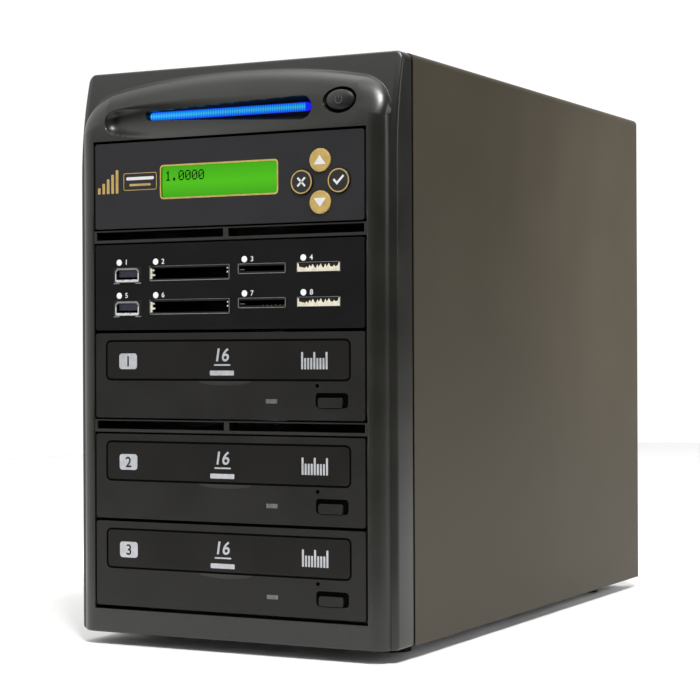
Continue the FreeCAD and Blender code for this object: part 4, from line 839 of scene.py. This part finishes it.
def key_pieces():
    for key, way in (("key_up", 1), ("key_down", -1)):
        arrow = [(px, pz * way) for px, pz in ARROW]
        mesh = print_mesh([moved(*middle(key), arrow)], corners(key)[0].y)
        add_piece(key + "_arrow", mesh, white_ink, key + "_body")
    cross = [turned_bar(CROSS_LONG, CROSS_WIDE, angle) for angle in (45, 135)]
    for key, outlines in (("key_back", cross), ("key_enter", [TICK])):
        x, z = middle(key)
        y = corners(key)[0].y
        ring = [circle_outline(x, z, RING_OUTER), circle_outline(x, z, RING_INNER)]
        add_piece(key + "_ring", print_mesh(ring, y), gold_ink, key + "_body")
        mark = merged([print_mesh([moved(x, z, outline)], y) for outline in outlines])
        add_piece(key + "_mark", mark, white_ink, key + "_body")


BARS, BARS_X, BARS_RISE, BAR_PITCH = 5, -71.4, 17.1, 2.6
BAR_WIDE, BAR_SHORT, BAR_STEP = 1.5, 3, 2.1
FRAME_X, FRAME_RISE = -47.7, 22.5


def ruled_line(left, rise, width, height):
    return patch(FRONT, left + width / 2, CONTROL_LOW + rise, width, height, height * 0.4, 3)


def badge_pieces():
    """Plain gold bars of rising height and ruled lines, left of the display."""
    bars = []
    for index in range(BARS):
        tall = BAR_SHORT + index * BAR_STEP
        z = CONTROL_LOW + BARS_RISE + tall / 2
        bars.append(patch(FRONT, BARS_X + index * BAR_PITCH, z, BAR_WIDE, tall, 0.4, 3))
    add_piece("panel_bars", merged(bars), gold_ink)
    add_piece("panel_rule_white", ruled_line(-55.6, 24, 15.8, 1.5), white_ink)
    outer = round_outline(FRAME_X, CONTROL_LOW + FRAME_RISE, 19, 8.4, 1)
    inner = round_outline(FRAME_X, CONTROL_LOW + FRAME_RISE, 18.4, 7.8, 0.7)
    golds = [ruled_line(-53.8, 20.9, 12.2, 1.1), print_mesh([outer, inner], FRONT)]
    add_piece("panel_rules_gold", merged(golds), gold_ink)


display_pieces()
key_pieces()
badge_pieces()


# Card reader: boxes are given across, back and up from a corner or the centre of their socket

ROW_TOPS = (READER_LOW + 30.71, READER_LOW + 14.608)
USB_LEFT, USB_WIDE, USB_TALL = -63.4, 16.4, 8.2
COMPACT_LEFT, COMPACT_WIDE, COMPACT_TALL = -42.4, 44.7, 7.2
MEMORY_LEFT, MEMORY_WIDE, MEMORY_TALL = 7, 25.6, 4.8
STICK_LEFT, STICK_WIDE, STICK_TALL = 38.6, 22.7, 4.7
NUMBER_SHIFT, NUMBER_RISE, NUMBER_SIZE = 7.6, 2.2, 2.4
RIM_BACK = 0.3

USB_OUTER = ((-6.9, -3.4), (6.9, -3.4), (6.9, 2), (5.6, 3.4), (-5.6, 3.4), (-6.9, 2))
USB_INNER = ((-6.15, -2.5), (6.15, -2.5), (6.15, 1.6), (5.1, 2.5), (-5.1, 2.5), (-6.15, 1.6))
USB_RIM_BACK, USB_RIM_DEPTH = 0.02, 0.5
USB_WINGS = ((-7.9, -4.6, -0.25, 0.05, -4.2, -3.7), (4.6, 7.9, -0.25, 0.05, -4.2, -3.7))
USB_STRIPS = ((-6.8, -6.2, -0.54, 0, -2.8, 0.8), (6.2, 6.8, -0.54, 0, -2.8, 0.8),
              (-6.2, -2.6, -0.54, 0, -3.4, -2.2), (-1.9, 1.5, -0.54, 0, -3.4, -2.2),
              (2.2, 6.2, -0.54, 0, -3.4, -2.2), (-6.2, 6.2, -0.52, 0, -3.4, -2.7))
USB_TONGUE = (-5.6, 5.6, 0.9, 9, -0.9, 2.3)
USB_PADS = [(x - 0.6, x + 0.6, 3.4, 9, -0.92, -0.8) for x in (-3.75, -1.25, 1.25, 3.75)]

COMPACT_TOP = (3, COMPACT_WIDE, -0.1, RIM_BACK, COMPACT_TALL - 0.16, COMPACT_TALL)
COMPACT_GUIDES = ((0.45, 1.3, -0.05, 1, 1, 6.1), (1.3, 2.6, 0.1, 1, 2.4, 3.3),
                  (1.3, 2.3, 0.1, 1, 4.8, 5.6), (43.2, 44.1, 0.1, 3, 5.2, 5.8),
                  (43.2, 44.1, 0.1, 3, 3.3, 4))
PINS, PIN_PITCH, PIN_HALF, PIN_FRONT, PIN_BACK = 25, 1.27, 0.2, 24, 32
PIN_ROWS = (2.95, 4.25)

MEMORY_LIP = (0.9, 3.3, 0.4, 3, 1.9, 2.15)
CONTACTS, CONTACT_X, CONTACT_PITCH, CONTACT_HALF = 9, 3.4, 2.35, 0.4

COMB = ((0.3, 4.2), (0.9, 4.2), (1.1, 2.6), (4.4, 1.9), (5, 2.6), (5.9, 1.6), (6.7, 3.3), (7.5, 2.2),
        (8.3, 3.7), (9.3, 2.1), (10, 1.8), (10.8, 3.5), (11.4, 2.2), (12.6, 3.9), (13.2, 2.3), (14.1, 1.9),
        (14.9, 3.6), (15.6, 2.2), (16.8, 4), (17.5, 2.4), (18.6, 2.2), (19.4, 3), (20.2, 2.3),
        (21.5, 2.9), (21.8, 4.2), (22.4, 4.2), (22.4, 0.3), (0.3, 0.3))
COMB_BACK, SHADE_BACK, COMB_DEPTH, SHADE_PLAY = 0.1, 0.35, 0.2, 0.6
STICK_SPRINGS = [(x, x + 1.1, 0.08, RIM_BACK, low, 3.7) for x, low in
                 ((2, 2.5), (3.3, 2.3), (9.3, 2.4), (13.4, 2.5), (17.5, 2.7), (19, 2.8))]


def add_rows(name, left, up, boxes, mat):
    """The same boxes in both rows, from a left edge and a height below the row's top."""
    rows = [box for top in ROW_TOPS for box in placed(left, top - up, boxes)]
    add_piece(name, box_mesh(rows), mat)


def rim(width, tall, side, top=0.0, bottom=0.0, front=-0.12):
    """Bright edge of a socket: its sides, and its top and bottom where they show."""
    parts = [(0, side, 0, tall), (width - side, width, 0, tall)]
    if top:
        parts.append((0, width, tall - top, tall))
    if bottom:
        parts.append((0, width, 0, bottom))
    return [(x0, x1, front, RIM_BACK, z0, z1) for x0, x1, z0, z1 in parts]


def socket_numbers():
    numbers = []
    for row, top in enumerate(ROW_TOPS):
        for place, left in enumerate((USB_LEFT, COMPACT_LEFT, MEMORY_LEFT, STICK_LEFT)):
            text = str(place + 1 + row * 4)
            numbers.append(number_mesh(text, left + NUMBER_SHIFT, top + NUMBER_RISE, NUMBER_SIZE, FRONT))
    add_piece("socket_numbers", merged(numbers), white_ink)


def usb_rims():
    x, up = USB_LEFT + USB_WIDE / 2, USB_TALL / 2
    rims = []
    for top in ROW_TOPS:
        outlines = [moved(x, top - up, outline) for outline in (USB_OUTER, USB_INNER)]
        rims.append(print_mesh(outlines, FRONT + USB_RIM_BACK, USB_RIM_DEPTH))
        rims.append(box_mesh(placed(x, top - up, USB_WINGS)))
    add_piece("usb_rims", merged(rims), laser_metal)
    add_rows("usb_flanges", x, up, USB_STRIPS, tin_plate)
    add_rows("usb_tongues", x, up, [USB_TONGUE], tongue_blue)
    add_rows("usb_contacts", x, up, USB_PADS, contact_gold)


def compact_rims():
    pins = []
    for z in PIN_ROWS:
        for pin in range(PINS):
            x = COMPACT_WIDE / 2 + (pin - PINS // 2) * PIN_PITCH
            pins.append((x - PIN_HALF, x + PIN_HALF, PIN_FRONT, PIN_BACK, z - PIN_HALF, z + PIN_HALF))
    rims = rim(COMPACT_WIDE, COMPACT_TALL, 0.3, bottom=0.35) + [COMPACT_TOP]
    for name, boxes, mat in (("compact_rims", rims, laser_metal),
                             ("compact_guides", COMPACT_GUIDES, cream_plate),
                             ("compact_pins", pins, pin_bronze)):
        add_rows(name, COMPACT_LEFT, COMPACT_TALL, boxes, mat)


def memory_rims():
    contacts = []
    for pin in range(CONTACTS):
        x = CONTACT_X + pin * CONTACT_PITCH
        contacts.append((x - CONTACT_HALF, x + CONTACT_HALF, 9.0, 20.0, 1.2, 1.5))
    rims = rim(MEMORY_WIDE, MEMORY_TALL, 0.3, top=0.25, bottom=0.3) + [MEMORY_LIP]
    add_rows("memory_rims", MEMORY_LEFT, MEMORY_TALL, rims, laser_metal)
    add_rows("memory_contacts", MEMORY_LEFT, MEMORY_TALL, contacts, contact_gold)


def stick_combs():
    """Plated contacts of uneven height over a plain strip, with dull springs between them."""
    combs, shades = [], []
    for top in ROW_TOPS:
        low = top - STICK_TALL
        combs.append(print_mesh([moved(STICK_LEFT, low, COMB)], FRONT + COMB_BACK, COMB_DEPTH))
        strip = round_outline(STICK_LEFT + STICK_WIDE / 2, (low + top) / 2, STICK_WIDE - SHADE_PLAY,
                              STICK_TALL - SHADE_PLAY, 0.2, 2)
        shades.append(print_mesh([strip], FRONT + SHADE_BACK, COMB_DEPTH))
    add_piece("stick_combs", merged(combs), cream_plate)
    add_piece("stick_shades", merged(shades), socket_black)
    add_rows("stick_springs", STICK_LEFT, STICK_TALL, STICK_SPRINGS, pin_bronze)
    rims = rim(STICK_WIDE, STICK_TALL, 0.25, top=0.2, front=-0.1)
    add_rows("stick_rims", STICK_LEFT, STICK_TALL, rims, laser_metal)


socket_numbers()
usb_rims()
compact_rims()
memory_rims()
stick_combs()


# Tray doors: marks, and painted shade in the gap and a painted highlight on the finger scoop round them

PLATE_X, PLATE_DROP, PLATE_WIDE, PLATE_TALL, PLATE_CORNER, PLATE_NUMBER = -55, 9.4, 10.2, 7.6, 1.5, 5
SPEED_X, SPEED_DROP, SPEED_TALL, SPEED_LEAN = -1.7, 6.4, 6, 0.15
UNDER_BAR = (-2.1, 15, 13.2, 2.3, 0.4)
UNDER_RULE = (-1.9, 11.2, 9, 0.7, 0.3)
TICKS, TICK_X, TICK_PITCH, TICK_WIDE, TICK_CORNER = 9, 41.2, 1.6, 1, 0.2
TICK_DROP, TICK_LONG, TICK_SHORT, LONG_EVERY = 9.2, 8, 5.2, 4
# Black ring of painted shade round each door: reach of its outer outline, play of its inner one, and its depth
GAP_SHADE_REACH, GAP_SHADE_PLAY, GAP_SHADE_DEPTH = 1.9, 0.3, 0.04
# Pale plate of painted highlight on the finger scoop below each door
SCOOP_HALF, SCOOP_BELOW, SCOOP_DROP, SCOOP_STEPS, SCOOP_THICK = 14.5, 1, 2, 24, 0.03


def door_marks():
    for number, drive in enumerate(DRIVES):
        y, top = corners(drive + "_door")[0].y, corners(drive + "_door")[1].z
        body = drive + "_tray_body"
        z = top - PLATE_DROP
        plate = patch(y, PLATE_X, z, PLATE_WIDE, PLATE_TALL, PLATE_CORNER)
        add_piece(drive + "_plate", plate, grey_ink, body)
        numeral = number_mesh(str(number + 1), PLATE_X, z, PLATE_NUMBER, y - PROUD / 2)
        add_piece(drive + "_number", numeral, socket_black, body)
        speed = [number_mesh("16", SPEED_X, top - SPEED_DROP, SPEED_TALL, y, shear=SPEED_LEAN)]
        for x, drop, width, height, corner in (UNDER_BAR, UNDER_RULE):
            speed.append(patch(y, x, top - drop, width, height, corner, 3))
        add_piece(drive + "_speed", merged(speed), grey_ink, body)
        scale = []
        for tick in range(TICKS):
            tall = TICK_SHORT if tick % LONG_EVERY else TICK_LONG
            z = top - TICK_DROP - (TICK_LONG - tall) / 2
            scale.append(patch(y, TICK_X + tick * TICK_PITCH, z, TICK_WIDE, tall, TICK_CORNER, 2))
        add_piece(drive + "_scale", merged(scale), grey_ink, body)


def door_gap_shades_and_scoop_highlights():
    """Black lining of painted shade in the gap round each tray door, with a pale scoop of painted highlight for
    the finger below it.
    """
    for drive in DRIVES:
        low, high = corners(drive + "_door")
        x, z = middle(drive + "_door")
        width, height = high.x - low.x, high.z - low.z
        # Painted shade: a black ring on the face round the door, so the gap reads dark and wide
        ring = [round_outline(x, z, width + more, height + more, corner)
                for more, corner in ((GAP_SHADE_REACH, 2.9), (GAP_SHADE_PLAY, 2.1))]
        add_piece(drive + "_gap_shade", print_mesh(ring, FRONT, GAP_SHADE_DEPTH), painted_shade_black)
        # Painted highlight: a pale plate over the finger scoop below the door
        sweep = [math.pi * step / SCOOP_STEPS for step in range(SCOOP_STEPS + 1)]
        scoop = [(x - SCOOP_HALF * math.cos(turn), low.z - SCOOP_BELOW - SCOOP_DROP * math.sin(turn))
                 for turn in sweep]
        add_piece(drive + "_scoop_highlight", print_mesh([scoop], FRONT, SCOOP_THICK), scoop_painted_highlight)


SHADE_FRONT, SHADE_REAR = 3.0, 4.0
SHADE_BELOW, SHADE_ABOVE, SHADE_IN, SHADE_OUT = 1.0, 1.4, 1.3, 0.2


def window_shades():
    """Black strips of painted shade behind the gaps above and beside the two panels."""
    back = (FRONT + SHADE_FRONT, FRONT + SHADE_REAR)
    strips = [(-WINDOW_HALF, WINDOW_HALF, *back, BROW - SHADE_BELOW, BROW + SHADE_ABOVE)]
    for side in (-1, 1):
        edges = sorted((side * (WINDOW_HALF - SHADE_IN), side * (WINDOW_HALF + SHADE_OUT)))
        strips.append((*edges, *back, READER_LOW, BROW - SHADE_BELOW))
    add_piece("window_shades", box_mesh(strips), painted_shade_black)


# Black ring of painted shade in the hollow round each eject button
# Width, height, corner, shift across and up, and how far below the button's centre the ring is cut
HOLLOW = (16.9, 6.9, 1.7, 0.7, 1.1, 2.35)
CAP = (13.4, 5.2, 1.5, 0.0, 0.0, 2.3)
HOLLOW_DEPTH = 0.6


def eject_recess_shades():
    """Painted shade: a black ring on the floor of the hollow round each eject button."""
    for drive in DRIVES:
        x, z = middle(drive + "_eject_button")
        ring = []
        for width, height, corner, aside, up, floor in (HOLLOW, CAP):
            outline = round_outline(x + aside, z + up, width, height, corner)
            ring.append([(px, max(pz, z - floor)) for px, pz in outline])
        add_piece(drive + "_eject_recess_shade", print_mesh(ring, FRONT + HOLLOW_DEPTH), painted_shade_black)


door_marks()
door_gap_shades_and_scoop_highlights()
window_shades()
eject_recess_shades()


# Power button mark and light bar ribs

MARK_OUTER, MARK_INNER, MARK_GAP, MARK_STEPS = 2.0, 1.65, math.radians(32), 26
MARK_SINK = 0.02
STROKE_RISE, STROKE_WIDE, STROKE_TALL, STROKE_CORNER = 1.4, 0.36, 1.9, 0.15
RIB_PITCH, RIB_PROUD, RIB_STEPS, RIB_LEVELS = 0.95, 0.35, 6, 4
RIB_REACH, RIB_FALL, RIB_LIFT = 0.98, 0.6, 0.02


def arc(x, z, radius):
    """Points round a centre, with a gap at the top."""
    sweep = 2 * math.pi - 2 * MARK_GAP
    turns = [MARK_GAP + sweep * i / MARK_STEPS for i in range(MARK_STEPS + 1)]
    return [(x + radius * math.sin(turn), z + radius * math.cos(turn)) for turn in turns]


def button_mark():
    x, z = middle("power_button")
    y = corners("power_button")[0].y + MARK_SINK
    ring = arc(x, z, MARK_OUTER) + arc(x, z, MARK_INNER)[::-1]
    stroke = patch(y, x, z + STROKE_RISE, STROKE_WIDE, STROKE_TALL, STROKE_CORNER, 2)
    mark = merged([print_mesh([ring], y), stroke])
    add_piece("button_mark", mark, faint_ink, "power_button_body")


def bar_ribs():
    """Fine upright ribs on the face of the light bar."""
    end = (BAR_HIGH.z - BAR_LOW.z) / 2
    left, right = BAR_LOW.x, BAR_HIGH.x
    count = round((right - left) / RIB_PITCH)
    columns = count * RIB_STEPS
    shape = bmesh.new()
    rows = []
    for column in range(columns + 1):
        x = left + (right - left) * column / columns
        inset = max(left + end - x, x - (right - end), 0)
        reach = math.sqrt(max(end * end - inset * inset, 0.0)) * RIB_REACH
        bulge = abs(math.sin(math.pi * count * column / columns)) * RIB_PROUD
        row = []
        for level in range(RIB_LEVELS + 1):
            share = level / RIB_LEVELS * 2 - 1
            depth = BAR_LOW.y - bulge * (1 - share * share * RIB_FALL) - RIB_LIFT
            row.append(shape.verts.new((x * MM, depth * MM, (BAR_Z + reach * share) * MM)))
        rows.append(row)
    for one, other in zip(rows, rows[1:]):
        for level in range(RIB_LEVELS):
            shape.faces.new((one[level], other[level], other[level + 1], one[level + 1]))
    bmesh.ops.remove_doubles(shape, verts=shape.verts, dist=1e-6)
    add_piece("light_bar_ribs", taken_from(shape), light_glow, smooth=60)


button_mark()
bar_ribs()


# Stage, light and camera, in metres

FLOOR_REACH, FLOOR_SHIFT, FLOOR_SIDES = 1.2, 0.82, 96
SKY_TOWARD = (-0.75, 0.1, 0.65)
SKY_LOW, SKY_HIGH = -0.22, 0.9
SKY_DIM, SKY_BRIGHT = 0.05, 1.2
BACKDROP = 1.05
WHITE = (1, 1, 1, 1)
LAMPS = (("key", (0.66, -0.8, 1.7), (0, -0.1, 0.2), 0.4, 36),
         ("right", (1.3, 0.3, 0.6), (0.09, 0.05, 0.17), 0.5, 3),
         ("top", (-0.1, 0.5, 1.9), (-0.1, 0.4, 0), 1.4, 14))
SPOT_PLACE, SPOT_TARGET = (1.2, 0.5, 0.65), (HALF * MM, 0.17, 0.2)
SPOT_POWER, SPOT_ANGLE, SPOT_SOFT = 60, 18, 0.08
CAMERA_PLACE = (0.4816, -0.9720, 0.1435)
YAW, PITCH, ROLL_ANGLE = math.radians(27.36), math.radians(-0.016), math.radians(-0.234)
LENS, SENSOR, CLIP = 101.8, 36, 0.05


def stage():
    shape = bmesh.new()
    turns = [2 * math.pi * side / FLOOR_SIDES for side in range(FLOOR_SIDES)]
    rim = [(FLOOR_REACH * math.cos(turn), FLOOR_REACH * math.sin(turn) + FLOOR_SHIFT, 0) for turn in turns]
    shape.faces.new([shape.verts.new(spot) for spot in rim])
    floor = put("floor", taken_from(shape))
    floor.data.materials.append(floor_paper)


def aimed(name, light, place, target):
    """Lamp at a place, turned to its target and unseen by the camera."""
    lamp = put(name, light)
    lamp.location = place
    lamp.visible_camera = False
    lamp.rotation_euler = (Vector(target) - Vector(place)).to_track_quat("-Z", "Y").to_euler()


def lamps():
    for name, place, target, size, power in LAMPS:
        light = bpy.data.lights.new(name, "AREA")
        light.shape = "RECTANGLE"
        light.size = size
        light.size_y = size
        light.energy = power
        aimed(name, light, place, target)
    spot = bpy.data.lights.new("rear_side", "SPOT")
    spot.energy = SPOT_POWER
    spot.spot_size = math.radians(SPOT_ANGLE)
    spot.spot_blend = 1.0
    spot.shadow_soft_size = SPOT_SOFT
    aimed("rear_side", spot, SPOT_PLACE, SPOT_TARGET)


def sky():
    """Soft light from the upper left, before an even white backdrop."""
    world = bpy.data.worlds.new("studio")
    bpy.context.scene.world = world
    world.use_nodes = True
    tree = world.node_tree
    place = shading(tree, "TexCoord", {}).outputs["Generated"]
    toward = shading(tree, "VectorMath", {0: place, 1: SKY_TOWARD}, "DOT_PRODUCT").outputs["Value"]
    ground = tree.nodes["Background"]
    feed(tree, ground, {"Color": WHITE, "Strength": ranged(tree, toward, SKY_LOW, SKY_HIGH, SKY_DIM, SKY_BRIGHT,
                                                           smooth=True)})
    backdrop = shading(tree, "Background", {"Color": WHITE, "Strength": BACKDROP})
    path = shading(tree, "LightPath", {})
    either = shading(tree, "MixShader", {"Fac": path.outputs["Is Camera Ray"], 1: ground.outputs["Background"],
                                         2: backdrop.outputs["Background"]})
    feed(tree, tree.nodes["World Output"], {"Surface": either.outputs["Shader"]})


def camera():
    lens = bpy.data.cameras.new("camera")
    lens.lens = LENS
    lens.sensor_width = SENSOR
    lens.clip_start = CLIP
    view = put("camera", lens)
    ahead = Vector((-math.sin(YAW) * math.cos(PITCH), math.cos(YAW) * math.cos(PITCH), math.sin(PITCH)))
    right = Vector((math.cos(YAW), math.sin(YAW), 0))
    up = right.cross(ahead)
    side = right * math.cos(ROLL_ANGLE) + up * math.sin(ROLL_ANGLE)
    rise = up * math.cos(ROLL_ANGLE) - right * math.sin(ROLL_ANGLE)
    turn = Matrix((side, rise, -ahead)).transposed().to_4x4()
    view.matrix_world = Matrix.Translation(CAMERA_PLACE) @ turn
    bpy.context.scene.camera = view


stage()
sky()
lamps()
camera()
bpy.context.scene.view_settings.view_transform = "Standard"
